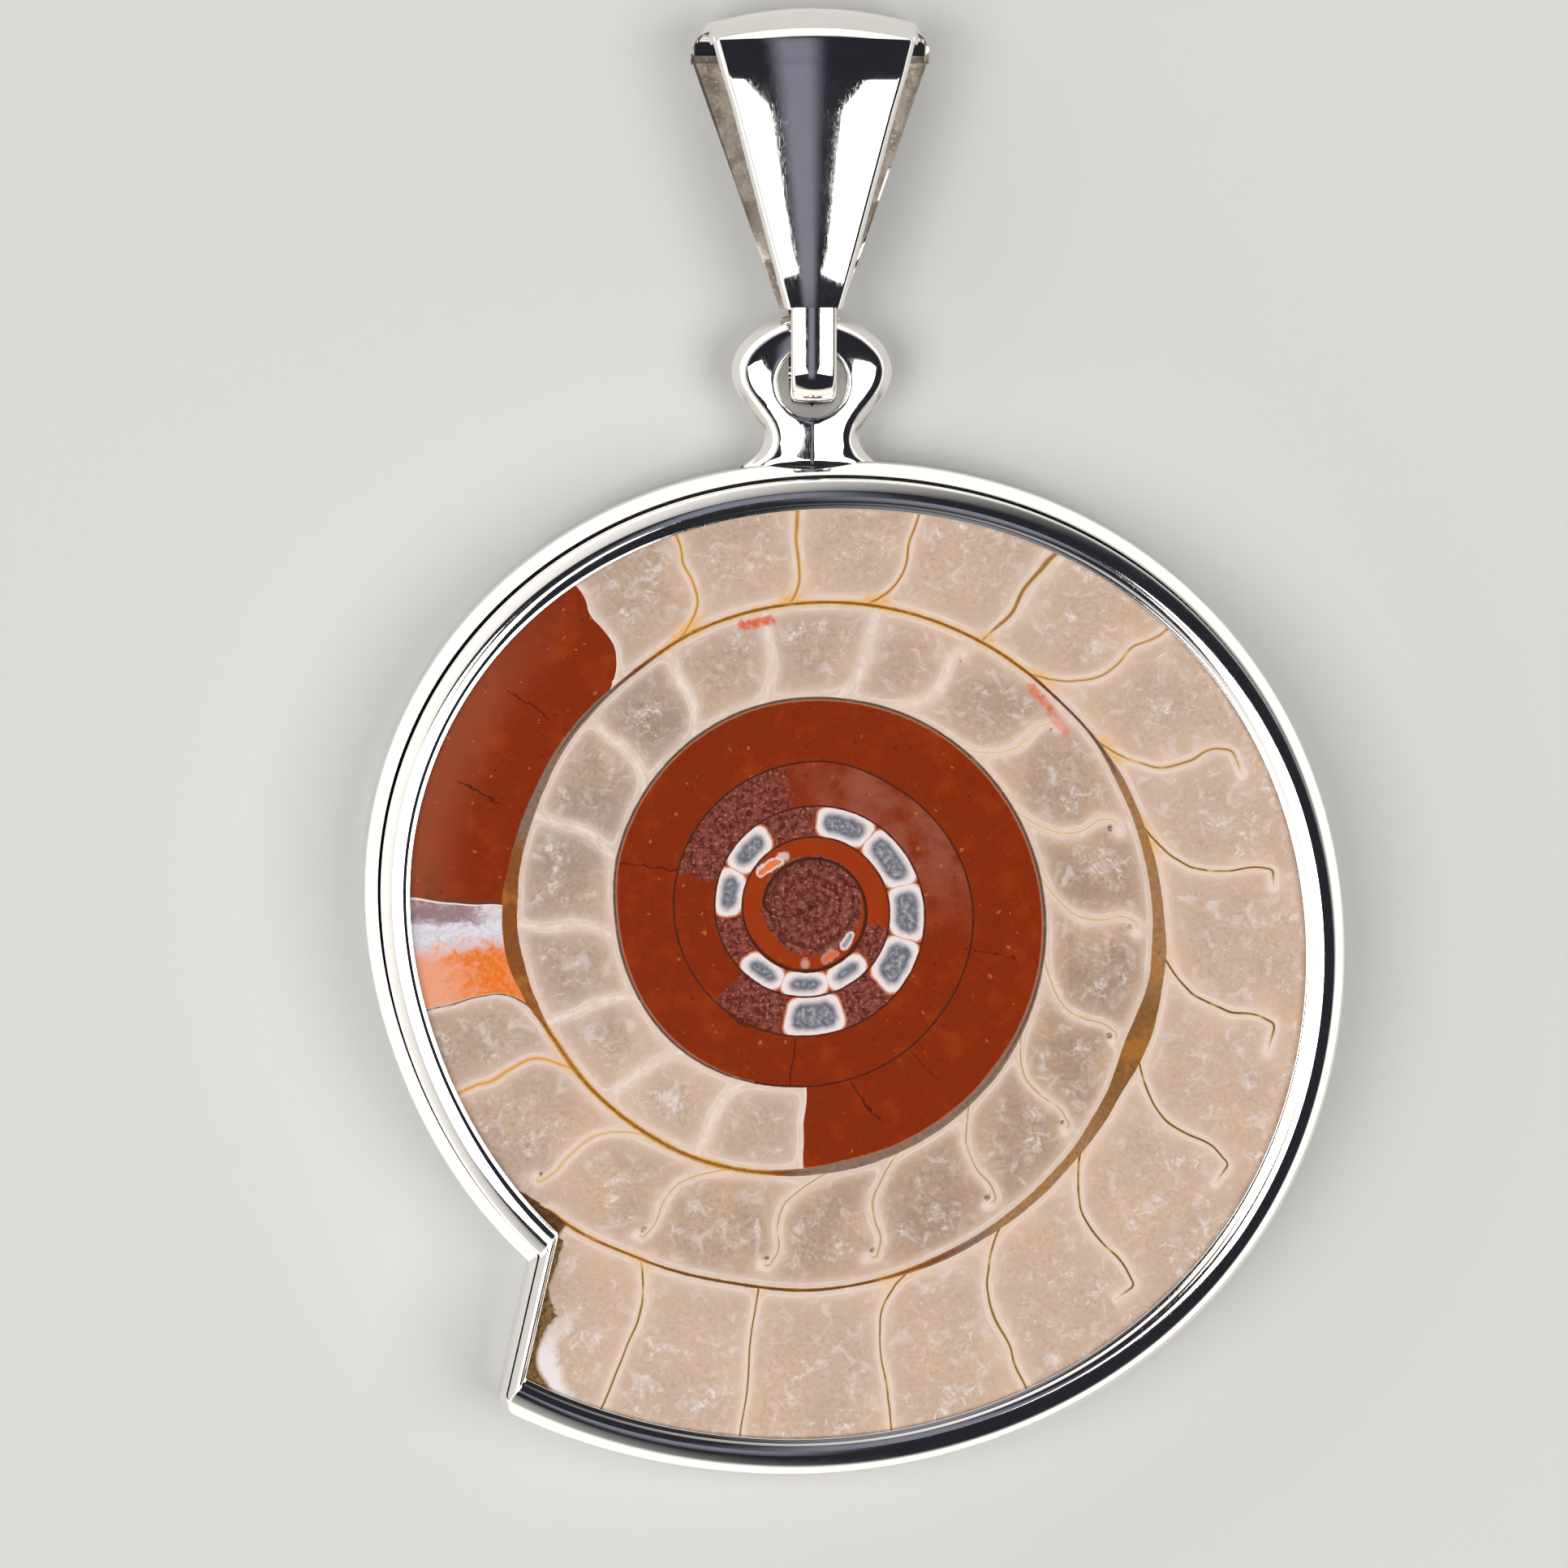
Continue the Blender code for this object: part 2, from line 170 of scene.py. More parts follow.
def lobe(inset):
    # the rim moved inwards, from the notch's corner to the mouth's: turns, points and the mouth's direction
    turns = np.linspace(0, setting["mouthTurn"], setting["rimSteps"] + 1)
    rim = polar(turns, rimRadius(turns))
    mouthWay = (rim[0] - rim[-1]) / np.linalg.norm(rim[0] - rim[-1])
    mouthIn = np.array((mouthWay[1], -mouthWay[0]))
    ways = np.gradient(rim, axis=0)
    inward = np.stack((ways[:, 1], -ways[:, 0]), axis=-1) / np.linalg.norm(ways, axis=1)[:, None]
    moved = rim + inward * inset
    onMouth = rim[-1] + mouthIn * inset * setting["mouthShare"]
    kept = (moved - onMouth) @ mouthIn > 0
    kept[: len(kept) // 2] = True
    moved, turns = moved[kept], turns[kept]
    mouthCorner = crossing(moved[-2], moved[-1] - moved[-2], onMouth, mouthWay)
    notchCorner = crossing(moved[0], moved[1] - moved[0], onMouth, mouthWay)
    turns[-1] = setting["mouthTurn"]
    turns[0] = 0.5 * turns[1]
    return np.insert(turns, 0, 0), np.vstack((notchCorner, moved[:-1], mouthCorner)), mouthWay


def outline(inset):
    # closed clockwise points, as many for every inset
    turns, points, mouthWay = lobe(inset)
    notchCorner, mouthCorner = points[0], points[-1]
    notchRound = np.interp(inset, (0, setting["lip"]), setting["notchRound"])
    mouthRound = max(setting["mouthRound"] - inset, setting["sharpRound"])
    notchCut = cornerCut(points[3] - points[2], mouthWay, notchRound)
    mouthCut = cornerCut(points[-1] - points[-2], mouthWay, mouthRound)
    rim = spaced(points, notchCut, mouthCut, setting["around"])
    line = spaced(np.array((mouthCorner, notchCorner)), mouthCut, notchCut, setting["mouthSteps"])
    mouthBend = bend(rim[-1], mouthCorner, line[0], setting["bendSteps"])
    notchBend = bend(line[-1], notchCorner, rim[0], setting["bendSteps"])
    return np.vstack((rim, mouthBend, line, notchBend))


def ring(bm, profile):
    # a closed ring from a closed loop of (inset, height) points
    loops = [[(*point, high) for point in outline(inset)] for inset, high in profile]
    columns = list(zip(*loops, loops[0]))
    spread(bm, columns + columns[:1])


print("outline ready")


# Node helpers


def tint(red, green, blue):
    values = [level / 255 for level in (red, green, blue)]
    return (*[v / 12.92 if v <= 0.04045 else ((v + 0.055) / 1.055) ** 2.4 for v in values], 1)


def plug(tree, node, sockets):
    # gives each named socket its link or its value
    for key, value in sockets.items():
        if isinstance(value, bpy.types.NodeSocket):
            tree.links.new(value, node.inputs[key])
        else:
            node.inputs[key].default_value = value
    return node


def add(tree, kind, sockets=None, **settings):
    made = tree.nodes.new("ShaderNode" + kind)
    for name, value in settings.items():
        setattr(made, name, value)
    return plug(tree, made, sockets or {})


def calc(tree, operation, a, b=0.0, c=0.0):
    return add(tree, "Math", {0: a, 1: b, 2: c}, operation=operation).outputs[0]


def fade(tree, value, low, high):
    # 0 at low and 1 at high, softly; low may be the larger one
    sockets = {"Value": value, "From Min": low, "From Max": high}
    return add(tree, "MapRange", sockets, interpolation_type="SMOOTHSTEP").outputs[0]


def mix(tree, factor, a, b):
    return add(tree, "Mix", {0: factor, 6: a, 7: b}, data_type="RGBA").outputs[2]


def vectors(tree, operation, a, b):
    return add(tree, "VectorMath", {0: a, 1: b}, operation=operation).outputs


def noise(tree, vector, scale, detail=2.0, roughness=0.5, distortion=0.0):
    sockets = {"Vector": vector, "Scale": scale, "Detail": detail, "Roughness": roughness}
    return add(tree, "TexNoise", {**sockets, "Distortion": distortion}).outputs["Fac"]


def read(tree, name):
    return add(tree, "Attribute", attribute_name=name).outputs["Fac"]


def millimetres(tree):
    # Object coordinates in millimetres from the spiral's centre
    source = add(tree, "TexCoord").outputs["Object"]
    sockets = {"Vector": source, "Location": -spiralCentre / mm, "Scale": (1 / mm,) * 3}
    return add(tree, "Mapping", sockets).outputs[0]


def group(name, inputs, outputs):
    tree = bpy.data.node_groups.new(name, "ShaderNodeTree")
    for label, kind, value in inputs:
        socket = tree.interface.new_socket(label, in_out="INPUT", socket_type="NodeSocket" + kind)
        if value is not None:
            socket.default_value = value
    for label, kind in outputs:
        tree.interface.new_socket(label, in_out="OUTPUT", socket_type="NodeSocket" + kind)
    return tree, tree.nodes.new("NodeGroupInput").outputs, tree.nodes.new("NodeGroupOutput").inputs


def startMaterial(name):
    material = bpy.data.materials.new(name)
    material.use_nodes = True
    tree = material.node_tree
    return material, tree, tree.nodes["Principled BSDF"]


print("node helpers ready")


# Silver

silverFinish = {
    "polished": (0.95, 0.935, 0.90, 1),
    "clouded": (0.90, 0.885, 0.86, 1),
    "cloudScale": 0.9,
    "gloss": 0.035,
    "cloudRough": 0.05,
    "hairlineRough": 0.12,
    "hairlineDeep": 0.01,
    "hairlineScale": 2.2,
    "hairlines": ((12, 38), (74, 30), (141, 46)),  # their direction in degrees, and how thin they are
    "satin": (0.60, 0.52, 0.44, 1),
    "satinDark": (0.34, 0.27, 0.21, 1),
    "grainScale": 9.0,
    "grainDeep": 0.03,
    "filmScale": 1.4,
    "satinMetal": 0.85,
}


def scratchGroup():
    # fine hairlines in three directions, as a height and a mask
    tree, given, out = group(
        "hairlines",
        [("Place", "Vector", None), ("Scale", "Float", 1.0), ("Amount", "Float", 1.0)],
        [("Height", "Float"), ("Mask", "Float")],
    )
    total = None
    for angle, thin in silverFinish["hairlines"]:
        sockets = {"Rotation": (0, 0, math.radians(angle)), "Scale": (thin, 1.1, 6)}
        turned = add(tree, "Mapping", {"Vector": given["Place"], **sockets}).outputs[0]
        scaled = add(tree, "VectorMath", {0: turned, "Scale": given["Scale"]}, operation="SCALE").outputs[0]
        line = fade(tree, noise(tree, scaled, 1.0, 2.0, 0.6), 0.62, 0.78)
        total = line if total is None else calc(tree, "MAXIMUM", total, line)
    tree.links.new(calc(tree, "MULTIPLY", total, given["Amount"]), out["Mask"])
    tree.links.new(calc(tree, "MULTIPLY", total, -1.0), out["Height"])
    return tree


hairlines = scratchGroup()


def polishedSilver():
    material, tree, shader = startMaterial("polishedSilver")
    finish = silverFinish
    where = millimetres(tree)
    sockets = {"Place": where, "Scale": finish["hairlineScale"], "Amount": 1.0}
    lines = add(tree, "Group", sockets, node_tree=hairlines).outputs
    cloud = noise(tree, where, finish["cloudScale"], 4.0, 0.6)
    clouded = fade(tree, cloud, 0.35, 0.75)
    rough = calc(tree, "MULTIPLY_ADD", clouded, finish["cloudRough"], finish["gloss"])
    rough = calc(tree, "MULTIPLY_ADD", lines["Mask"], finish["hairlineRough"], rough)
    sockets = {"Height": lines["Height"], "Strength": 0.02, "Distance": finish["hairlineDeep"] * mm}
    bump = add(tree, "Bump", sockets).outputs[0]
    colour = mix(tree, fade(tree, cloud, 0.3, 0.8), finish["polished"], finish["clouded"])
    plug(tree, shader, {"Base Color": colour, "Roughness": rough, "Normal": bump, "Metallic": 1.0})
    return material


def satinSilver():
    # the unpolished inside, with a warm film and small grains
    material, tree, shader = startMaterial("satinSilver")
    finish = silverFinish
    where = millimetres(tree)
    grain = noise(tree, where, finish["grainScale"], 3.0, 0.65)
    film = noise(tree, where, finish["filmScale"], 3.0, 0.55)
    colour = mix(tree, fade(tree, film, 0.35, 0.7), finish["satin"], finish["satinDark"])
    colour = mix(tree, fade(tree, grain, 0.55, 0.75), colour, finish["polished"])
    rough = calc(tree, "MULTIPLY_ADD", grain, 0.25, 0.35)
    sockets = {"Height": grain, "Strength": 0.35, "Distance": finish["grainDeep"] * mm}
    bump = add(tree, "Bump", sockets).outputs[0]
    metal = finish["satinMetal"]
    plug(tree, shader, {"Base Color": colour, "Roughness": rough, "Normal": bump, "Metallic": metal})
    return material


polished, satin = polishedSilver(), satinSilver()


def rolled(stations, top, steps=4):
    # a polished section, told by how steeply it leans at each inset, in degrees, and by its highest place
    places, leans = np.array(stations, float).T
    insets = np.interp(np.arange(steps * (len(places) - 1) + 1) / steps, np.arange(len(places)), places)
    slopes = np.tan(np.radians(np.interp(insets, places, leans)))
    highs = np.insert(np.cumsum((slopes[1:] + slopes[:-1]) / 2 * np.diff(insets)), 0, 0)
    return list(zip(insets, highs - highs.max() + top))


# The outer band, cast in one with the pear-shaped eye.
band = {
    "top": 2.96,
    "slope": (
        (0.00, 80), (0.03, 60), (0.06, 41.5), (0.36, 39), (0.40, 36), (0.46, 34), (0.49, 33),
        (0.495, -60), (0.51, -80),
    ),
    "foot": [(0.51, 0.03), (0.49, 0.00), (0.15, 0.00), (0.06, 0.05), (0.00, 0.16)],
}
eye = {
    "right": 0.18,
    "top": 3.05,
    "bottom": 1.82,
    # the right half from the top down: a knot, the way the edge runs there, and its two handles
    "half": (
        ((0.00, 20.83), (1.00, 0.00), 1.45, 1.45),
        ((2.82, 18.80), (0.00, -1.00), 1.05, 1.05),
        ((1.66, 16.45), (-0.10, -1.00), 0.75, 0.50),
        ((3.10, 15.14), (1.00, -0.20), 0.60, 0.00),
    ),
    "knotSteps": 24,
    "hole": (0.0, 18.36),
    "holeRadius": 1.22,
    "holeRound": 0.16,
    "aroundHole": 130,  # how far down each side the edge faces the hole, in degrees
    "pillow": ((0.0, 62), (0.32, 44), (0.37, 34), (0.60, 24), (0.66, 14), (1.2, 9), (1.5, 7), (3.0, 6)),
    "rows": (
        *(0, 0.012, 0.03, 0.06, 0.10, 0.14, 0.18, 0.22, 0.27, 0.33),
        *(0.4, 0.5, 0.6, 0.7, 0.8, 0.87, 0.92, 0.96, 1),
    ),
    "bend": (15.75, 0.6, 0.35),  # the neck falls away towards the ridge: from where, over what reach, how far
}


def pearEdge():
    points = []
    t = np.linspace(0, 1, eye["knotSteps"] + 1)[:-1, None]
    for (start, wayA, _, out), (end, wayB, into, _) in zip(eye["half"], eye["half"][1:]):
        start, end = np.array(start), np.array(end)
        a, b = start + np.array(wayA) / np.hypot(*wayA) * out, end - np.array(wayB) / np.hypot(*wayB) * into
        points.append(start * (1 - t) ** 3 + 3 * a * t * (1 - t) ** 2 + 3 * b * t**2 * (1 - t) + end * t**3)
    right = np.vstack((*points, end))
    return np.vstack((right[:0:-1] * (-1, 1), right))


def eyePartners(edge):
    # what each edge point faces: the hole, or below it the neck's middle line
    hole, radius, around = np.array(eye["hole"]), eye["holeRadius"], eye["aroundHole"]
    limit, under = eye["half"][-1][0][1], hole[1] - radius
    faced = []
    for x, y in edge:
        turn = math.atan2(x, y - hole[1])
        if abs(turn) < math.radians(around):
            turn *= 180 / around
            faced.append(hole + radius * np.array((math.sin(turn), math.cos(turn))))
        else:
            first = hole[1] + abs(x) / math.tan(math.radians(around))
            share = np.clip((first - y) / (first - limit), 0, 1)
            faced.append(np.array((0.0, under - (under - limit) * share)))
    return np.array(faced)


def eyePlate(bm):
    edge = pearEdge()
    faced = eyePartners(edge)
    rows = np.array(eye["rows"])
    places = edge[:, None] + (faced - edge)[:, None] * rows[None, :, None]
    near = np.linalg.norm(places[:, :, None] - edge[None, None], axis=-1).min(axis=-1)
    insets, highs = np.array(rolled(eye["pillow"], eye["top"])).T
    pillow = np.interp(near, insets, highs)
    curve, bottom = eye["holeRound"], eye["bottom"]
    sink = np.clip(curve - np.linalg.norm(places - eye["hole"], axis=-1) + eye["holeRadius"], 0, None)
    rounded = curve - np.sqrt(np.clip(curve**2 - sink**2, 0, None))
    start, reach, fall = eye["bend"]
    top = pillow - rounded - fall * np.clip((start - places[:, :, 1]) / reach, 0, 2) ** 2
    low = np.minimum(top, bottom + (highs[0] - bottom) * (highs[-1] - pillow))
    low[:, 0] = top[:, 0]
    places = places + (eye["right"], 0)
    over, under = np.dstack((places, top)), np.dstack((places, low))
    beside = np.linalg.norm(faced - eye["hole"], axis=1)
    onHole = np.flatnonzero(np.isclose(beside, eye["holeRadius"]))
    spread(bm, over)
    spread(bm, under)
    spread(bm, np.stack((over[onHole, -1], under[onHole, -1]), axis=1))
    for end in (0, -1):
        spread(bm, np.stack((over[end], under[end]), axis=1))


bm = bmesh.new()
ring(bm, band["foot"] + rolled(band["slope"], band["top"]))
eyePlate(bm)
weld(bm)
addPiece("setting_band", bm, "pendant", [polished], ["frame"], sharp=55)
print("band and eye ready")

# The bezel: a low-domed ridge with a thin burnished lip over the stone, and the bearing inside.
ridge = {
    "top": 5.00,
    "dome": (
        (0.595, 84), (0.600, 31.5), (0.98, 30), (0.99, 20), (1.04, 15.5), (1.18, 7), (1.19, 6),
        (1.1904, -9), (1.21, -9.5), (1.36, -19), (1.38, -33.5), (1.47, -34.5), (1.49, -16),
        (1.59, -6), (1.62, -60),
    ),
    "bearing": [
        *((1.62, 4.637), (1.45, 4.637), (1.45, 3.10), (2.15, 3.10)),
        *((2.15, 2.50), (1.185, 2.50), (1.185, 0.10)),
    ],
    "foot": [(0.615, 0.10), (0.595, 0.12)],
}
bm = bmesh.new()
ring(bm, rolled(ridge["dome"], ridge["top"]) + ridge["bearing"] + ridge["foot"])
weld(bm)
addPiece("setting_bezel", bm, "pendant", [polished], ["bezel"], sharp=14)
print("bezel ready")

# The bail and its link: straps along stations from the hinge. A place on them is (up, deep, wide).
bailShape = {
    "foot": (0.92, 1.52, 2.06),
    "shoulder": (9.70, 2.45, 6.70),
    "brow": (10.45, 1.95, 7.10),
    "backBrow": (10.45, -1.95, 8.40),
    "backShoulder": (9.70, -2.37, 8.40),
    "backFoot": (0.92, -1.52, 2.20),
    "footBend": (3.1, 0.045),  # the front falls away below this height, and how fast
    "shoulderBend": (8.0, 0.115),  # and above this one
    "rise": 1.07,
    "archSteps": 36,
    "panelSteps": 60,
    "thick": 0.45,
    "lean": 11,  # how far a panel leans beside its rounded edge, in degrees
    "archLean": 14,
    "archRound": 1.5,
    "archNarrow": 1.1,  # how much narrower the arch is at its crest
}
linkShape = {
    "outer": 1.50,
    "drop": 1.00,
    "wide": 1.60,
    "thick": 0.40,
    "top": 1.02,
    "steps": 40,
    "lean": 16,
    "round": 0.55,
}
edgeRound = ((0.0, 76), (0.02, 62), (0.09, 50), (0.15, 38), (0.23, 27))
edgeBlend = 0.04  # over which an edge runs into the crown
insideWide = 0.97  # how wide a strap is inside, against outside
insideSteps = 11


def strapSection(half, lean, curve):
    # (sideways, outwards) from one edge to the other: a rounded edge, then a crown that leans less and less
    inner = edgeRound[-1][0] * curve
    stations = [(reach * curve, angle) for reach, angle in edgeRound] + [(inner + edgeBlend, lean), (half, 0)]
    left = [(reach - half, high) for reach, high in rolled(stations, 0)]
    return left + [(-reach, high) for reach, high in left[-2::-1]]


def strap(bm, stations, thick, insideMaterial=0, plainFrom=0):
    ups, deeps, wides, leans, curves = np.array(stations).T
    ways = np.stack((np.gradient(ups), np.gradient(deeps)), axis=-1)
    ways /= np.linalg.norm(ways, axis=1)[:, None]
    columns = []
    for up, deep, wide, lean, curve, way in zip(ups, deeps, wides, leans, curves, ways):
        outer = strapSection(wide / 2, lean, curve)
        inner = [(insideWide * wide / 2 * share, -thick) for share in np.linspace(1, -1, insideSteps)]
        column = []
        for across, out in outer + inner + outer[:1]:
            place = (across, up - way[1] * out, deep + way[0] * out)
            column.append(np.add(place, tuple(hingePlace.values())))
        columns.append(column)
    spread(bm, columns)
    layer = bm.loops.layers.uv.verify()
    for face in bm.faces:
        inside = min(loop[layer].uv.y for loop in face.loops) > (len(outer) - 0.5) / (len(column) - 1)
        if inside and min(vert.co.y for vert in face.verts) < hinge.y + plainFrom * mm:
            face.material_index = insideMaterial
    weld(bm)
    bmesh.ops.holes_fill(bm, edges=[edge for edge in bm.edges if edge.is_boundary], sides=0)
    bmesh.ops.recalc_face_normals(bm, faces=bm.faces)


def runTo(start, end, steps, lean):
    shares = np.linspace(0, 1, steps + 1)[:-1]
    return [(*(np.array(start) + (np.array(end) - start) * share), lean, 1) for share in shares]


def bailStations():
    b = bailShape
    lean, archLean = b["lean"], b["archLean"]
    stations = []
    for up, deep, *rest in runTo(b["foot"], b["shoulder"], b["panelSteps"], lean):
        low, late = [max(0, reach) for reach in (b["footBend"][0] - up, up - b["shoulderBend"][0])]
        deep -= b["footBend"][1] * low**2 + b["shoulderBend"][1] * late**2
        stations.append((up, deep, *rest))
    fallen = b["shoulderBend"][1] * (b["shoulder"][0] - b["shoulderBend"][0]) ** 2
    stations += runTo((b["shoulder"][0], b["shoulder"][1] - fallen, b["shoulder"][2]), b["brow"], 4, lean)
    for share in np.linspace(0, 1, b["archSteps"] + 1):
        deep = b["brow"][1] * math.cos(math.pi * share)
        up = b["brow"][0] + b["rise"] * (1 - (deep / b["brow"][1]) ** 2) ** 0.8
        wide = b["brow"][2] + (b["backBrow"][2] - b["brow"][2]) * share
        swell = math.sin(math.pi * share)
        wide -= b["archNarrow"] * (1 - math.sqrt(1 - swell**8))
        stations.append((up, deep, wide, lean + (archLean - lean) * swell, 1 + (b["archRound"] - 1) * swell))
    stations += runTo(b["backBrow"], b["backShoulder"], 4, lean)[1:]
    stations += runTo(b["backShoulder"], b["backFoot"], b["panelSteps"], lean)
    return stations + [(*b["backFoot"], lean, 1)]


bm = bmesh.new()
strap(bm, bailStations(), bailShape["thick"], insideMaterial=1, plainFrom=bailShape["shoulder"][0])
bail = addPiece("bail_strap", bm, "bail", [polished, satin], ["bail"], sharp=30)

bm = bmesh.new()
link = linkShape
angles = np.linspace(0, math.pi, link["steps"])
loop = [(-link["drop"] - link["outer"] * math.sin(a), link["outer"] * math.cos(a)) for a in angles]
path = [(link["top"], link["outer"]), *loop, (link["top"], -link["outer"])]
strap(bm, [(*spot, link["wide"], link["lean"], link["round"]) for spot in path[::-1]], link["thick"])
addPiece("bail_ring", bm, "bail", [polished], ["bail_link"], sharp=30)
print("bail ready")


# The fossil: one strip coils from the centre out to the mouth, once for the cut face and once for the back.
shell = {
    "turns": (-2160, 360),
    "start": 60,  # the strip opens from nothing over its first degrees of turn
    "joining": 12,  # and meets the setting over its last ones before the notch
    "across": 12,
    "radius": 13.75,
    "growth": 1.44,  # how much wider each whorl is than the last
    "sway": 0.031,
    "flat": 4.60,
    "seat": 3.135,
    "faceInset": 1.485,
    "backInset": 2.185,
    "mouthSqueeze": (330, 354),
    "seam": (0.90, 0.10),
    "rising": 25,  # how soon the seam climbs from the seat beside the notch
    "swell": (0.38, 0.10),
    "archPower": 0.7,
    "ribs": 20,
    "ribsFrom": (-2000, 600),
    "flatFrom": (345, 15),
}
# how much the walls stray from an even spiral
wallStations = (
    (8, 1.0), (5, 0.992), (0, 0.994), (-12, 0.981), (-25, 0.977), (-40, 0.988), (-95, 0.989),
    (-120, 1.013), (-156, 1.008), (-170, 0.998), (-240, 1.004), (-252, 0.997), (-280, 1.016),
    (-314, 1.05), (-340, 1.011), (-365, 1.0), (-410, 0.975), (-500, 0.98), (-560, 0.987),
    (-600, 1.0), (-650, 0.992), (-673, 0.976), (-710, 0.984), (-756, 0.953), (-798, 0.957),
    (-848, 0.981), (-900, 0.965), (-934, 0.997), (-1028, 0.985), (-1117, 0.987), (-1300, 1.0),
    (-1477, 0.985), (-1837, 1.02),
)


def wallRadius(turns):
    even = shell["radius"] * shell["growth"] ** (turns / 360)
    sway = 1 - shell["sway"] * np.sin(np.radians(setting["notchAngle"] - turns))
    return even * sway * between(turns, wallStations)


def wall(turns, inset):
    # points on the wall at these turns; the outermost turn follows the setting
    rimTurns, rim, _ = lobe(inset)
    start, end = shell["mouthSqueeze"]
    late = start + (turns - start) * (end - start) / (360 - start)
    squeezed = np.where(turns > start, late, turns)
    outside = np.stack([np.interp(squeezed, rimTurns, rim[:, axis]) for axis in (0, 1)], axis=-1)
    inside = polar(turns, wallRadius(turns) * ease((turns - shell["turns"][0]) / shell["start"]))
    joined = rim[0] - polar(np.array([0.0]), wallRadius(np.array([0.0])))
    inside += joined * ease(1 + turns / shell["joining"])[:, None]
    return np.where(turns[:, None] >= 0, outside, inside)


def strip(inset):
    first, last = shell["turns"]
    turns = np.arange(first, last + 1, dtype=float)
    outer, inner = wall(turns, inset), wall(np.maximum(turns - 360, first), inset)
    shares = np.linspace(0, 1, shell["across"] + 1)
    return turns, shares, inner[:, None] + (outer - inner)[:, None] * shares[None, :, None]


def flank(inset):
    # the back: each whorl bulges between its seams, with low ribs
    turns, shares, places = strip(inset)
    radii = np.linalg.norm(places, axis=-1)
    low, rise = shell["seam"]
    seat, flat = shell["seat"], shell["flat"]

    def seam(turns, radius):
        return seat + (flat - low - rise * radius - seat) * ease(-turns / shell["rising"])

    outer = seam(turns, radii[:, -1])
    inner = seam(turns - 360, radii[:, 0])
    widths = radii[:, -1] - radii[:, 0]
    (ribStart, ribReach), (flatStart, flatReach) = shell["ribsFrom"], shell["flatFrom"]
    ribs = np.cos(np.radians(turns * 360 / shell["ribs"])) * ease((turns - ribStart) / ribReach)
    swell = shell["swell"][0] * widths + shell["swell"][1] * ribs
    swell *= 1 - ease((turns - flatStart) / flatReach)
    arch = np.sin(np.pi * shares) ** shell["archPower"]
    highs = inner[:, None] + (outer - inner)[:, None] * shares - swell[:, None] * arch
    return np.dstack((places, highs))


turns, shares, facePlaces = strip(shell["faceInset"])
face = np.dstack((facePlaces, np.full(facePlaces.shape[:2], shell["flat"])))
back = flank(shell["backInset"])
rimColumns = slice(-shell["turns"][0], None)
faceEdge = np.vstack((face[rimColumns, -1], face[-1, -2::-1]))
backEdge = np.vstack((back[rimColumns, -1], back[-1, -2::-1]))
side = [[top, (*top[:2], shell["seat"]), low] for top, low in zip(faceEdge, backEdge)]
print("fossil shaped")


# The cut face's growth lines. Each septum has its turn at the inner and at the outer wall, the length of its
# hook in millimetres, and how golden and how dark its line is.
septa = (
    (-396.1, -396.1, 0, 0, 0), (-376.2, -373.0, 0, 0, 0), (-354.9, -351.5, 0, 0, 0),
    (-335.1, -331.6, 0, 0, 0), (-315.2, -311.6, 0, 0, 0), (-292.8, -289.0, 0, 0, 0),
    (-270.9, -267.0, 0, 0, 0), (-250.8, -247.2, 0, 0, 0), (-230.0, -226.6, 0, 0, 0),
    (-209.7, -206.0, 0, 0, 0), (-193.9, -187.6, 0.2, 0.1, 0), (-171.6, -165.7, 0.3, 0.5, 0.1),
    (-150.5, -144.3, 0.4, 0.6, 0.15), (-132.5, -125.4, 0.4, 0.6, 0.2),
    (-112.5, -105.6, 0.4, 0.6, 0.3), (-94.4, -87.8, 0.35, 0.6, 0.4),
    (-75.3, -70.8, 0.3, 0.6, 0.45), (-56.4, -50.6, 0.3, 0.6, 0.4), (-39.6, -31.3, 0.35, 0.6, 0.4),
    (-17.9, -11.0, 0.3, 0.6, 0.3), (0.8, 7.2, 0.3, 0.6, 0.2), (20.1, 24.1, 0, 0.9, 0.1),
    (34.0, 38.4, 0, 0, 0.9), (47.0, 47.5, 0, 0, 0), (54.0, 54.0, 0, 0, 0), (101.3, 105.8, 0, 0, 0),
    (118.6, 123.1, 0, 0.9, 0.35), (138.9, 140.3, 0, 0.9, 0.4), (154.6, 158.0, 0, 0.9, 0.55),
    (175.8, 176.3, 0, 0.7, 0.7), (188.1, 193.8, 0, 0.7, 0.5), (205.0, 210.7, 0.5, 0.8, 0.6),
    (221.0, 228.3, 0.8, 0.8, 0.85), (241.4, 245.6, 0.95, 0.8, 0.9), (257.5, 263.5, 0.95, 0.8, 0.9),
    (276.0, 281.5, 0.9, 0.8, 0.9), (293.2, 297.9, 0, 0.8, 0.8), (309.4, 314.2, 0, 0.8, 0.75),
    (330.2, 330.0, 0, 0.8, 0.8), (347.0, 345.0, 0, 0.8, 0.8),
)
# how far apart septa are before the first and after the last, in degrees of turn
septumSpacing = (20.0, 17.0)
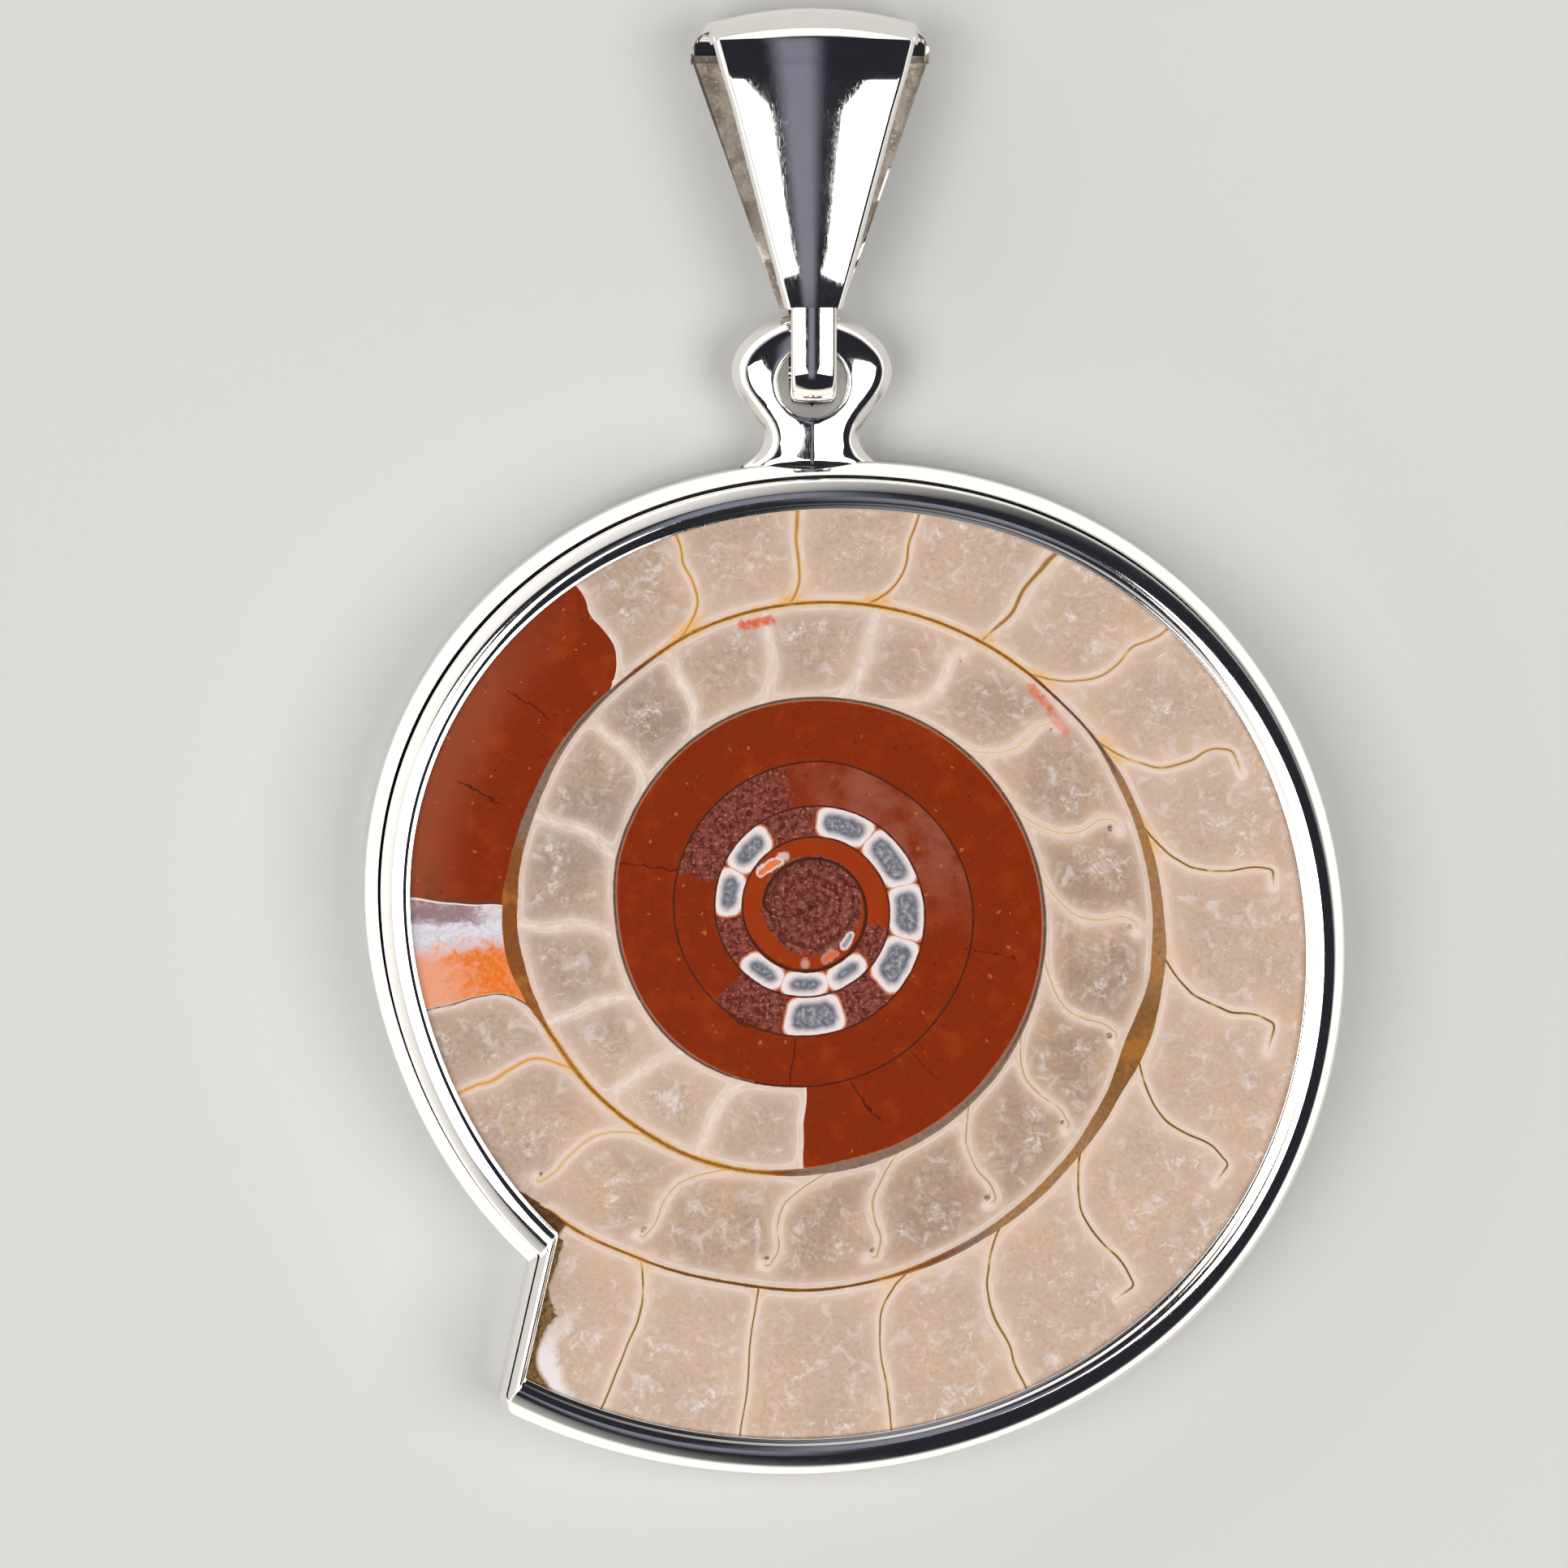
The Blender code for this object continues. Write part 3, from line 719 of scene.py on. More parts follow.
# The walls between the whorls: half their width in millimetres by turn, and their tone from dark through gold
# to olive
wallWidths = (
    (-1500, 0.02), (-760, 0.022), (-716, 0.05), (-560, 0.05), (-475, 0.06), (-440, 0.12),
    (-405, 0.15), (-397, 0.12), (-385, 0.08), (-344, 0.085), (-332, 0.09), (-325, 0.17),
    (-318, 0.28), (-306, 0.28), (-300, 0.20), (-285, 0.15), (-270, 0.10), (-258, 0.07),
    (-217, 0.06), (-160, 0.05), (-148, 0.13), (-130, 0.19), (-115, 0.26), (-105, 0.40),
    (-95, 0.22), (-78, 0.16), (-60, 0.115), (-44, 0.05), (-8, 0.05), (0, 0.07),
)
wallTones = (
    (-1500, 0.0), (-740, 0.0), (-739, 0.75), (-400, 0.75), (-385, 0.3), (-335, 0.3), (-326, 0.5),
    (-298, 0.5), (-290, 0.75), (-262, 0.75), (-245, 0.3), (-180, 0.3), (-160, 0.75), (-145, 0.9),
    (-118, 0.9), (-110, 1.0), (-98, 1.0), (-86, 0.9), (-70, 0.9), (-52, 0.4), (-45, 0.15),
    (-20, 0.15), (-8, 0.3),
)
wallStops = ((0.3, "amber"), (0.5, "rust"), (0.7, "greyBrown"), (0.8, "greyBrown"), (0.9, "straw"))
# The small chambers round the middle, each from one turn to another
cells = (
    (-1524, -1491), (-1491, -1457), (-1457, -1425), (-1393, -1360.5), (-1360.5, -1327),
    (-1293, -1257.5), (-1257.5, -1221), (-1221, -1189.5), (-1189.5, -1160), (-1135, -1105),
)
grains = (
    *((-1553, -1524), (-1425, -1393), (-1327, -1293), (-1160, -1135)),
    *((-1104, -1072), (-1012, -946), (-945, -850)),
)
# how tan and how grey the calcite is by turn
tans = (
    (-420, 0.1), (-350, 0), (-285, 0.5), (-255, 0.6), (-232, 0.1), (-190, 0.3), (-160, 0.6),
    (-127, 1.0), (-60, 0.9), (-20, 0.55), (0, 0.15), (360, 0),
)
greys = (
    (-420, 0.3), (-350, 0.1), (-328, 0.45), (-300, 0.75), (-282, 1.0), (-256, 1.0), (-236, 0.35),
    (-215, 0.3), (-180, 0.1), (0, 0), (14, 0.3), (38, 0.45), (60, 0.25), (104, 0.4), (118, 0.3),
    (130, 0),
)


# beside the notch: where the outer wall follows the spiral, where and how far it leaves it, and where it ends
notchWall = {"follows": (-14, 10), "leaves": (3, 6), "leavesBy": 2, "ends": 8}
# what each corner of the face keeps for the material
faceValues = (
    *("turn", "phase", "lean", "chamberWide", "whorlWide", "hook", "gold", "dark"),
    *("wallHalf", "wallAway", "wallTone", "cellAlong", "grainAlong", "tan", "grey"),
)


def nearest(spans, turns):
    # for each turn, the span nearest to it, as its middle and half its length
    middles = np.array([(low + high) / 2 for low, high in spans])
    halves = np.array([(high - low) / 2 for low, high in spans])
    chosen = (np.abs(turns[:, None] - middles) - halves).argmin(axis=1)
    return middles[chosen], halves[chosen]


def markFace(mesh):
    # every corner of the cut face learns where it is along the coil, and the material draws the lines from it
    count = len(mesh.loops)
    corners = np.empty(count, int)
    mesh.loops.foreach_get("vertex_index", corners)
    spots = np.empty(len(mesh.vertices) * 3)
    mesh.vertices.foreach_get("co", spots)
    spots = (spots.reshape(-1, 3)[corners] - np.array(spiralCentre)) / mm
    shares = np.empty(count * 2)
    mesh.uv_layers.active.data.foreach_get("uv", shares)
    along, across = shares.reshape(-1, 2).T
    starts, sizes = np.empty(len(mesh.polygons), int), np.empty(len(mesh.polygons), int)
    mesh.polygons.foreach_get("loop_start", starts)
    mesh.polygons.foreach_get("loop_total", sizes)
    owners = np.repeat(np.arange(len(starts)), sizes)

    turns = shell["turns"][0] + along * (shell["turns"][1] - shell["turns"][0])
    angles = setting["notchAngle"] - np.degrees(np.arctan2(spots[:, 1], spots[:, 0]))
    turns += (angles - turns + 180) % 360 - 180
    centres = (np.add.reduceat(turns, starts) / sizes)[owners]
    radii = np.linalg.norm(spots[:, :2], axis=1)
    widths = wallRadius(np.minimum(turns, 0)) - wallRadius(np.minimum(turns, 0) - 360)
    late = turns > 0
    rimTurns, rim, _ = lobe(shell["faceInset"])
    rimRadii = np.interp(turns, rimTurns, np.linalg.norm(rim, axis=1))
    widths[late] = rimRadii[late] - wallRadius(turns[late] - 360)

    inner, outerTurns, hooks, golds, darks = np.array(septa).T
    order = np.arange(len(inner))
    before, after = septumSpacing
    phase = np.interp(turns, inner, order)
    phase += np.minimum(turns - inner[0], 0) / before + np.maximum(turns - inner[-1], 0) / after
    gaps = np.append(np.diff(inner), after)
    index = np.clip(np.floor(phase), 0, len(inner) - 1).astype(int)
    shareOn = np.clip(phase - index, 0, 1)
    following = np.minimum(index + 1, len(inner) - 1)
    leans = outerTurns - inner
    lean = (leans[index] * (1 - shareOn) + leans[following] * shareOn) / gaps[index]
    middle = np.interp(centres, inner, order)
    closest = np.clip(np.round(middle), 0, len(inner) - 1).astype(int)
    nearInner = across < 0.5
    wallTurns = np.where(nearInner, turns - 360, turns)
    cellMiddle, cellHalf = nearest(cells, centres)
    grainMiddle, grainHalf = nearest(grains, centres)
    arcs = np.radians(1) * radii
    # beside the notch the outer wall runs a little inside the strip's edge
    (start, end), (leaves, reach) = notchWall["follows"], notchWall["leaves"]
    apart = (1 - across) * widths
    notched = ~nearInner & (turns > start) & (turns < end)
    left = notchWall["leavesBy"] * ease((turns[notched] - leaves) / reach)
    apart[notched] = wallRadius(turns[notched]) + left - radii[notched]
    early = nearInner & (wallTurns > start)
    beside = across * widths
    beside[early] = radii[early] - wallRadius(wallTurns[early])
    walled = nearInner | (turns < notchWall["ends"])
    values = {
        "turn": turns,
        "phase": phase,
        "lean": lean,
        "chamberWide": np.radians(gaps[index]) * radii,
        "whorlWide": widths,
        "hook": hooks[closest],
        "gold": golds[closest],
        "dark": darks[closest],
        "wallHalf": np.where(walled, between(wallTurns, wallWidths), -1),
        "wallAway": np.where(nearInner, beside, apart),
        "wallTone": between(wallTurns, wallTones),
        "cellAlong": (np.abs(turns - cellMiddle) - cellHalf) * arcs,
        "grainAlong": (np.abs(turns - grainMiddle) - grainHalf) * arcs,
        "tan": between(turns, tans),
        "grey": between(turns, greys),
    }
    for name, value in values.items():
        mesh.attributes.new(name, "FLOAT", "CORNER").data.foreach_set("value", value.astype(np.float32))


# the stone's colours, from 0 to 255
tones = {
    "calcite": (203, 177, 158),
    "calciteTan": (180, 151, 129),
    "calciteGrey": (170, 151, 141),
    "core": (176, 152, 136),
    "peach": (218, 182, 152),
    "paleThread": (224, 200, 182),
    "dust": (132, 110, 94),
    "grit": (112, 90, 76),
    "shadow": (140, 116, 98),
    "crystal": (234, 226, 226),
    "halo": (230, 210, 199),
    "haloRim": (236, 220, 212),
    "haloLine": (232, 218, 210),
    "glow": (226, 170, 92),
    "gold": (220, 174, 104),
    "goldPale": (236, 208, 170),
    "goldWarm": (214, 150, 52),
    "line": (82, 54, 32),
    "crook": (98, 74, 56),
    "orange": (226, 112, 26),
    "orangePale": (230, 158, 128),
    "orangeDust": (232, 170, 128),
    "milk": (218, 208, 214),
    "milkDark": (146, 119, 123),
    "milkBlue": (220, 216, 226),
    "milkDust": (164, 142, 146),
    "milkThread": (196, 178, 182),
    "milkEdge": (234, 224, 226),
    "mud": (130, 40, 0),
    "mudDark": (98, 26, 0),
    "mudBright": (158, 62, 8),
    "mudThread": (150, 66, 12),
    # a painted reflection: a lighter, pinker red that stands in for a soft reflection on the polished mud
    "mudHaze": (152, 76, 48),
    "mudMiddle": (160, 56, 8),
    "mudSkin": (186, 112, 84),
    "soot": (84, 62, 42),
    "veil": (150, 86, 70),
    "crack": (58, 16, 4),
    "fleck": (190, 112, 66),
    "pit": (70, 16, 4),
    "grain": (136, 76, 66),
    "grainDark": (64, 24, 23),
    "grainLight": (188, 146, 136),
    "discRing": (62, 20, 18),
    "cellSkin": (208, 142, 116),
    "cellRim": (228, 217, 216),
    "cellDark": (98, 101, 111),
    "cellLight": (168, 165, 172),
    "cellEdge": (84, 90, 106),
    "wallDark": (66, 28, 14),
    "amber": (196, 140, 56),
    "rust": (138, 78, 36),
    "greyBrown": (134, 112, 98),
    "straw": (162, 122, 82),
    "olive": (136, 94, 50),
    "wallGlow": (226, 178, 112),
    "wallBlotch": (172, 112, 44),
    "wallSpeck": (60, 40, 22),
    "stain": (214, 84, 26),
    "matrix": (74, 52, 36),
    "matrixLight": (112, 72, 34),
    "mouthRim": (236, 229, 230),
    "soil": (140, 108, 62),
    "soilDark": (84, 62, 40),
}
stone = {name: tint(*levels) for name, levels in tones.items()}
# the noises that the marks are drawn with: scale, detail, roughness and distortion
clouds = {
    "blotch": (0.75, 3.0, 0.6),
    "patchy": (0.33, 2.0, 0.5),
    "fine": (5.5, 4.0, 0.65),
    "thread": (2.6, 5.0, 0.62, 0.6),
    "speck": (9.0, 3.0, 0.6),
    "drift": (0.5, 1.0, 0.4),
    "feather": (2.8, 7.0, 0.76, 0.9),
    "nest": (0.95, 2.0, 0.5),
    "haze": (1.4, 4.0, 0.65, 0.8),
    "sparkle": (7.5, 2.0, 0.5),
    "smudge": (1.6, 4.0, 0.65, 0.8),
    "gaps": (1.1, 3.0, 0.6),
    "fleck": (3.1, 2.0, 0.4),
    "pits": (4.2, 1.0, 0.3),
    "grain": (4.5, 4.0, 0.7, 0.6),
}
# the septa where the middle's mud ends, where the orange, the milky and the red stretch near the mouth start,
# and where the red one ends
colourSepta = (-396.1, 34.0, 47.0, 54.0, 101.3)
redCracks = (
    ((-0.65, -4.6), (-0.70, -6.35), 0.05),
    ((1.30, -6.15), (2.35, -7.50), 0.06),
    ((3.60, -4.95), (4.50, -6.10), 0.03),
    ((-6.60, 1.60), (-3.60, 1.20), 0.05),
    ((-10.6, 7.70), (-9.00, 6.60), 0.05),
    ((-12.3, 4.45), (-10.7, 3.65), 0.05),
    ((5.60, -1.40), (7.10, -1.80), 0.03),
    ((-3.30, -3.35), (-2.10, -4.25), 0.04),
)
# small grains beside the middle: from, to, half width, how white the rim, colour
middleSpots = (
    ((-1.55, 1.30), (-1.15, 1.62), 0.13, 0.9, (222, 118, 66)),
    ((-1.00, 1.80), (-0.95, 1.82), 0.10, 0.5, (208, 176, 168)),
    ((1.22, -1.35), (1.48, -0.98), 0.07, 0.9, (150, 146, 150)),
    ((0.62, -1.80), (0.86, -1.60), 0.11, 0.3, (214, 100, 52)),
    ((-0.24, -1.97), (-0.18, -1.93), 0.13, 0.2, (190, 140, 124)),
)
# the circles whose edges bound the bright rim at the mouth
mouthCircles = ((-7.65, -15.75), (-7.25, -15.8))
mouthEdge = ((-8.95, -11.8), (-9.85, -17.3))
# red stains: from, to, how wide, how strong
stains = (
    ((-2.35, 9.95), (-1.35, 10.1), 0.24, 0.9),
    ((7.75, 7.75), (8.35, 7.05), 0.22, 0.7),
    ((8.45, 6.85), (8.95, 6.15), 0.26, 0.5),
)
# how far a septum leads its foot, in shares of its lean, by its share of the way across the whorl
septumBow = (
    *((0.0, -0.5), (0.1, 0.26), (0.2, 0.7), (0.3, 0.94)),
    *((0.48, 1.04), (0.67, 0.97), (0.8, 1.08), (1.0, 1.1)),
)
hookShape = {
    "at": 0.81,  # the share of the way across where a hooked septum turns
    "bend": (0.35, 0.2),  # the corner's radius, as a share of the hook and at most
    "fading": -0.85,  # how much fainter its line is at the hook's tip
    "crook": 0.24,  # how far inside the corner a dark speck lies
}
middlePlace = (0.06, 0.09)  # where the first whorl starts
veilTurn = -893  # the middle of the pinkish veil


def bound(tree, jitter):
    # the node helpers for one tree: do("ADD", a, b), soft(value, low, high), times(a, b, ...), lay and rough
    def times(*values):
        total = values[0]
        for value in values[1:]:
            total = calc(tree, "MULTIPLY", total, value)
        return total

    def lay(base, tone, *amounts):
        # a tone over a base, as strong as the amounts multiplied
        base, tone = [stone[colour] if isinstance(colour, str) else colour for colour in (base, tone)]
        return mix(tree, times(*amounts), base, tone)

    def rough(value, amount):
        return calc(tree, "MULTIPLY_ADD", jitter, amount, value)

    return partial(calc, tree), partial(fade, tree), times, lay, rough


def hypotenuse(tree, a, b):
    return calc(tree, "SQRT", calc(tree, "MULTIPLY_ADD", a, a, calc(tree, "MULTIPLY", b, b)))


def distance(tree, a, b):
    return vectors(tree, "DISTANCE", a, b)["Value"]


def septumLead(tree, share, low=-0.5, span=2.0):
    # a curve holds values from 0 to 1 only, so the leads are moved into that range and back
    curve = add(tree, "FloatCurve", {"Factor": 1.0, "Value": share})
    points = curve.mapping.curves[0].points
    points[0].location = (0, (septumBow[0][1] - low) / span)
    points[1].location = (1, (septumBow[-1][1] - low) / span)
    for place, lead in septumBow[1:-1]:
        points.new(place, (lead - low) / span)
    curve.mapping.update()
    return calc(tree, "MULTIPLY_ADD", curve.outputs[0], span, low)


def capsule(tree, place, start, end):
    # distance from the straight line between two points
    way = Vector((*end, 0)) - Vector((*start, 0))
    offset = vectors(tree, "SUBTRACT", place, (*start, 0))[0]
    along = vectors(tree, "DOT_PRODUCT", offset, way / way.length_squared)["Value"]
    along = calc(tree, "MINIMUM", calc(tree, "MAXIMUM", along, 0.0), 1.0)
    reached = add(tree, "VectorMath", {0: way, "Scale": along}, operation="SCALE").outputs[0]
    return distance(tree, offset, reached)


def rounded(tree, along, across, radius):
    # distance to the edge of a box with round corners
    a, b = [calc(tree, "ADD", value, radius) for value in (along, across)]
    far = hypotenuse(tree, calc(tree, "MAXIMUM", a, 0.0), calc(tree, "MAXIMUM", b, 0.0))
    inside = calc(tree, "MINIMUM", calc(tree, "MAXIMUM", a, b), 0.0)
    return calc(tree, "ADD", calc(tree, "ADD", far, inside), -radius)


# The face's marks are drawn in layers. Each reads what it needs from "f", in millimetres and degrees of turn,
# and soft(value, low, high) fades it in between two such values.


def startFace(tree):
    # the place on the face, the values kept in its corners and the clouds
    flat = vectors(tree, "MULTIPLY", millimetres(tree), (1, 1, 0))[0]
    f = SimpleNamespace(flat=flat)
    f.share = add(tree, "SeparateXYZ", {0: add(tree, "UVMap").outputs[0]}).outputs["Y"]
    for name in faceValues:
        setattr(f, name, read(tree, name))
    for name, settings in clouds.items():
        setattr(f, name, noise(tree, flat, *settings))
    f.wander = calc(tree, "SUBTRACT", f.drift, 0.5)
    f.jitter = calc(tree, "SUBTRACT", f.thread, 0.5)
    sideways, upwards = calc(tree, "MULTIPLY", f.wander, 0.8), calc(tree, "MULTIPLY", f.jitter, 0.5)
    f.bent = vectors(tree, "ADD", flat, add(tree, "CombineXYZ", {0: sideways, 1: upwards}).outputs[0])[0]
    return f


def findLines(tree, f):
    # distance to the nearest septum in millimetres, along the coil and square to the line
    do, soft, times, lay, rough = bound(tree, f.jitter)
    ahead = 0.02
    lead = septumLead(tree, f.share)
    slope = do("SUBTRACT", septumLead(tree, do("ADD", f.share, ahead)), lead)
    steep = do("DIVIDE", times(slope, times(f.lean, f.chamberWide)), times(f.whorlWide, ahead))
    place = do("SUBTRACT", f.phase, times(lead, f.lean))
    f.place = do("ADD", place, do("DIVIDE", times(f.wander, 0.4), f.chamberWide))
    past = times(do("SUBTRACT", f.place, do("ROUND", f.place)), f.chamberWide)
    square = do("SQRT", do("MULTIPLY_ADD", steep, steep, 1.0))
    line = do("DIVIDE", do("ABSOLUTE", past), square)
    # hooked septa turn a corner and run on along the coil, fainter and fainter
    f.hooked = do("GREATER_THAN", f.hook, 0.05)
    share, most = hookShape["bend"]
    bend = do("MINIMUM", times(f.hook, share), most)
    f.side = do("DIVIDE", past, square)
    beyond = times(do("SUBTRACT", f.share, hookShape["at"]), f.whorlWide)
    f.over = do("MULTIPLY_ADD", do("MAXIMUM", f.side, 0.0), 0.1, beyond)
    beside = do("MAXIMUM", do("SUBTRACT", bend, f.side), 0.0)
    above = do("MAXIMUM", do("ADD", f.over, bend), 0.0)
    turned = do("ABSOLUTE", do("SUBTRACT", hypotenuse(tree, beside, above), bend))
    within = do("MINIMUM", do("SUBTRACT", f.side, bend), times(do("ADD", f.over, bend), -1.0))
    turned = do("ADD", turned, do("MAXIMUM", within, 0.0))
    turned = hypotenuse(tree, turned, do("MAXIMUM", do("SUBTRACT", f.side, f.hook), 0.0))
    f.line = do("MULTIPLY_ADD", f.hooked, do("SUBTRACT", turned, line), line)
    f.tail = times(f.hooked, soft(f.side, 0.05, f.hook))
    f.drawn = do("MULTIPLY_ADD", f.tail, hookShape["fading"], 1.0)
    # distance to the nearer wall, and to whichever line is nearest
    f.toWall = do("ABSOLUTE", f.wallAway)
    ragged = rough(f.wallHalf, 0.06)
    ragged = do("MULTIPLY_ADD", f.wallHalf, times(f.wander, 0.5), ragged)
    f.pastWall = do("SUBTRACT", f.toWall, ragged)
    f.walled = do("GREATER_THAN", f.wallHalf, 0.0)
    f.edge = do("SMOOTH_MIN", f.line, f.pastWall, 0.55)
    f.cloudy = rough(f.edge, 0.30)
    f.smudged = soft(f.smudge, 0.35, 0.6)
    f.broken = soft(f.gaps, 0.24, 0.48)


def drawCalcite(tree, f):
    # calcite, darker and greyer inside each chamber
    do, soft, times, lay, rough = bound(tree, f.jitter)
    chamber = add(tree, "TexWhiteNoise", {"W": do("FLOOR", f.place)}, noise_dimensions="1D").outputs["Value"]
    inside = soft(f.cloudy, 0.15, 1.2)
    second = do("MAXIMUM", f.tan, f.grey)
    colour = lay("calcite", "calciteTan", f.tan)
    colour = lay(colour, "calciteGrey", f.grey)
    uneven = do("MULTIPLY_ADD", chamber, 0.35, 0.15)
    colour = lay(colour, "core", inside, uneven, do("MULTIPLY_ADD", second, 0.9, 0.5))
    colour = lay(colour, "core", soft(f.blotch, 0.42, 0.68), 0.26)
    colour = lay(colour, "peach", soft(f.patchy, 0.4, 0.7), 0.35)
    colour = lay(colour, "paleThread", soft(f.thread, 0.46, 0.3), 0.22)
    colour = lay(colour, "dust", soft(f.fine, 0.42, 0.70), inside, do("MULTIPLY_ADD", second, 0.30, 0.24))
    colour = lay(colour, "grit", soft(f.speck, 0.60, 0.72), inside, do("MULTIPLY_ADD", second, 0.3, 0.15))
    colour = lay(colour, "shadow", inside, second, soft(f.blotch, 0.3, 0.6), 0.42)
    # feathery white crystals, thickest in the outer half of a chamber
    nest = times(soft(f.nest, 0.45, 0.62), soft(f.share, 0.2, 0.55), soft(f.edge, 0.25, 0.8))
    colour = lay(colour, "crystal", soft(f.feather, 0.48, 0.66), nest, 0.75)
    colour = lay(colour, "crystal", soft(f.haze, 0.5, 0.72), soft(f.edge, 0.1, 0.5), 0.38)
    return lay(colour, "crystal", soft(f.sparkle, 0.70, 0.77), inside, 0.9)


def drawSepta(tree, f, colour):
    # pale halo, golden glow and dark line
    do, soft, times, lay, rough = bound(tree, f.jitter)
    colour = lay(colour, "halo", soft(f.cloudy, 0.5, 0.0), 0.6)
    rim = soft(do("ABSOLUTE", do("SUBTRACT", f.edge, 0.17)), 0.07, 0.0)
    colour = lay(colour, "haloRim", rim, soft(f.blotch, 0.35, 0.6), 0.45)
    plain = times(f.smudged, do("SUBTRACT", 1.0, f.gold), 0.75)
    beside = soft(rough(f.line, 0.3), 0.17, 0.0)
    colour = lay(colour, "haloLine", beside, do("MAXIMUM", plain, times(f.tail, 0.8)))
    # an amber glow where the septa stand on the wall, strongest in the upper chambers
    foot = do("MAXIMUM", f.line, do("SUBTRACT", times(f.share, f.whorlWide), 0.1))
    foot = soft(rough(foot, 0.8), 0.5, 0.05)
    upper = times(soft(f.turn, 104, 116), soft(f.turn, 250, 215))
    strong, outer = do("MULTIPLY_ADD", upper, 0.62, 0.36), do("GREATER_THAN", f.turn, 10.0)
    colour = lay(colour, "glow", foot, strong, outer, f.gold)
    colour = lay(colour, "goldPale", soft(f.line, 0.14, 0.03), 0.7, f.gold, f.drawn)
    thinner = do("ADD", times(soft(f.turn, 5, -5), 0.04), times(soft(f.turn, 215, 245), 0.018))
    gold = lay("gold", "goldWarm", soft(f.turn, 230, 150), soft(f.turn, 10, 20))
    colour = lay(colour, gold, soft(do("ADD", f.line, thinner), 0.10, 0.025), f.gold, f.drawn, 0.9)
    colour = lay(colour, "line", soft(f.line, 0.06, 0.015), f.dark, f.broken, f.drawn)
    # a dark speck in the crook of the smaller hooks
    inwards, upwards = do("SUBTRACT", f.side, hookShape["crook"]), do("ADD", f.over, hookShape["crook"])
    crook = add(tree, "CombineXYZ", {0: inwards, 1: upwards}).outputs[0]
    crook = add(tree, "VectorMath", {0: crook}, operation="LENGTH").outputs["Value"]
    crook = soft(rough(crook, 0.5), 0.12, 0.05)
    small = times(f.hooked, soft(f.hook, 0.5, 0.42), crook, soft(f.speck, 0.35, 0.5))
    return lay(colour, "crook", small, 0.8)


def drawMilk(tree, f, colour):
    # orange and milky patches before the red stretch near the mouth
    do, soft, times, lay, rough = bound(tree, f.jitter)
    order = [inner for inner, *rest in septa]
    f.middleTo, orangeFrom, milkyFrom, f.redFrom, f.redTo = [order.index(inner) for inner in colourSepta]
    ripe = do("ABSOLUTE", do("SUBTRACT", rough(f.share, 1.1), 0.22))
    orange = lay("orange", "orangePale", soft(ripe, 0.02, 0.62))
    orange = lay(orange, "orangeDust", soft(f.fine, 0.42, 0.7), 0.4)
    started = soft(f.place, orangeFrom + 0.015, orangeFrom + 0.03)
    colour = lay(colour, orange, started, soft(f.place, f.redFrom, f.redFrom - 0.1))
    # the mud's lower border slopes down to the wall
    slope = do("MULTIPLY_ADD", f.wander, 0.25, f.place)
    slope = do("MULTIPLY_ADD", do("SUBTRACT", 1.0, f.share), 0.2, slope)
    f.border = do("SUBTRACT", slope, f.redFrom)
    f.clear = rough(f.share, 0.8)
    milk = lay("milk", "milkDark", soft(f.clear, 0.20, 0.42))
    milk = lay(milk, "milkBlue", soft(rough(f.border, 0.5), -0.44, -0.62))
    milk = lay(milk, "milkDust", soft(f.fine, 0.4, 0.7), 0.4)
    milk = lay(milk, "milkThread", soft(f.thread, 0.5, 0.65), 0.5)
    milk = lay(milk, "milkEdge", soft(f.border, -0.05, -0.02), f.broken)
    fuzzy = rough(f.place, 0.7)
    return lay(colour, milk, soft(fuzzy, milkyFrom - 0.30, milkyFrom + 0.05), soft(f.border, 0.005, -0.005))


def drawMud(tree, f):
    # red mud, in the middle whorls and in one stretch near the mouth
    do, soft, times, lay, rough = bound(tree, f.jitter)
    mud = lay("mud", "mudDark", soft(f.fine, 0.4, 0.7), 0.3)
    mud = lay(mud, "mudBright", soft(f.blotch, 0.48, 0.72), 0.45)
    mud = lay(mud, "mudThread", soft(f.thread, 0.6, 0.72), 0.35)
    # painted reflection: the outer part of the red stretch near the mouth is painted lighter and pinker, as a
    # soft haze of reflected light
    paintedReflection = times(soft(f.share, 0.35, 1.0), soft(f.turn, 20, 60), soft(f.turn, 110, 78))
    mud = lay(mud, "mudHaze", paintedReflection, 0.85)
    sooty = soft(rough(f.border, 0.3), 0.16, 0.0)
    sooty = times(sooty, soft(f.place, f.redFrom - 1, f.redFrom - 0.9), soft(f.clear, 0.9, 0.6))
    mud = lay(mud, "soot", sooty, 0.8)
    # a pinkish veil over part of the third whorl
    veiled = soft(do("ABSOLUTE", do("ADD", f.turn, -veilTurn)), 62, 20)
    mud = lay(mud, "veil", times(veiled, soft(f.blotch, 0.3, 0.6)), 0.65)
    cracks = None
    for start, end, width in redCracks:
        one = soft(capsule(tree, f.bent, start, end), width, width * 0.2)
        cracks = one if cracks is None else do("MAXIMUM", cracks, one)
    mud = lay(mud, "crack", cracks, 0.8)
    mud = lay(mud, "fleck", soft(f.fleck, 0.70, 0.75), 0.6)
    return lay(mud, "pit", soft(f.pits, 0.27, 0.22), 0.5)


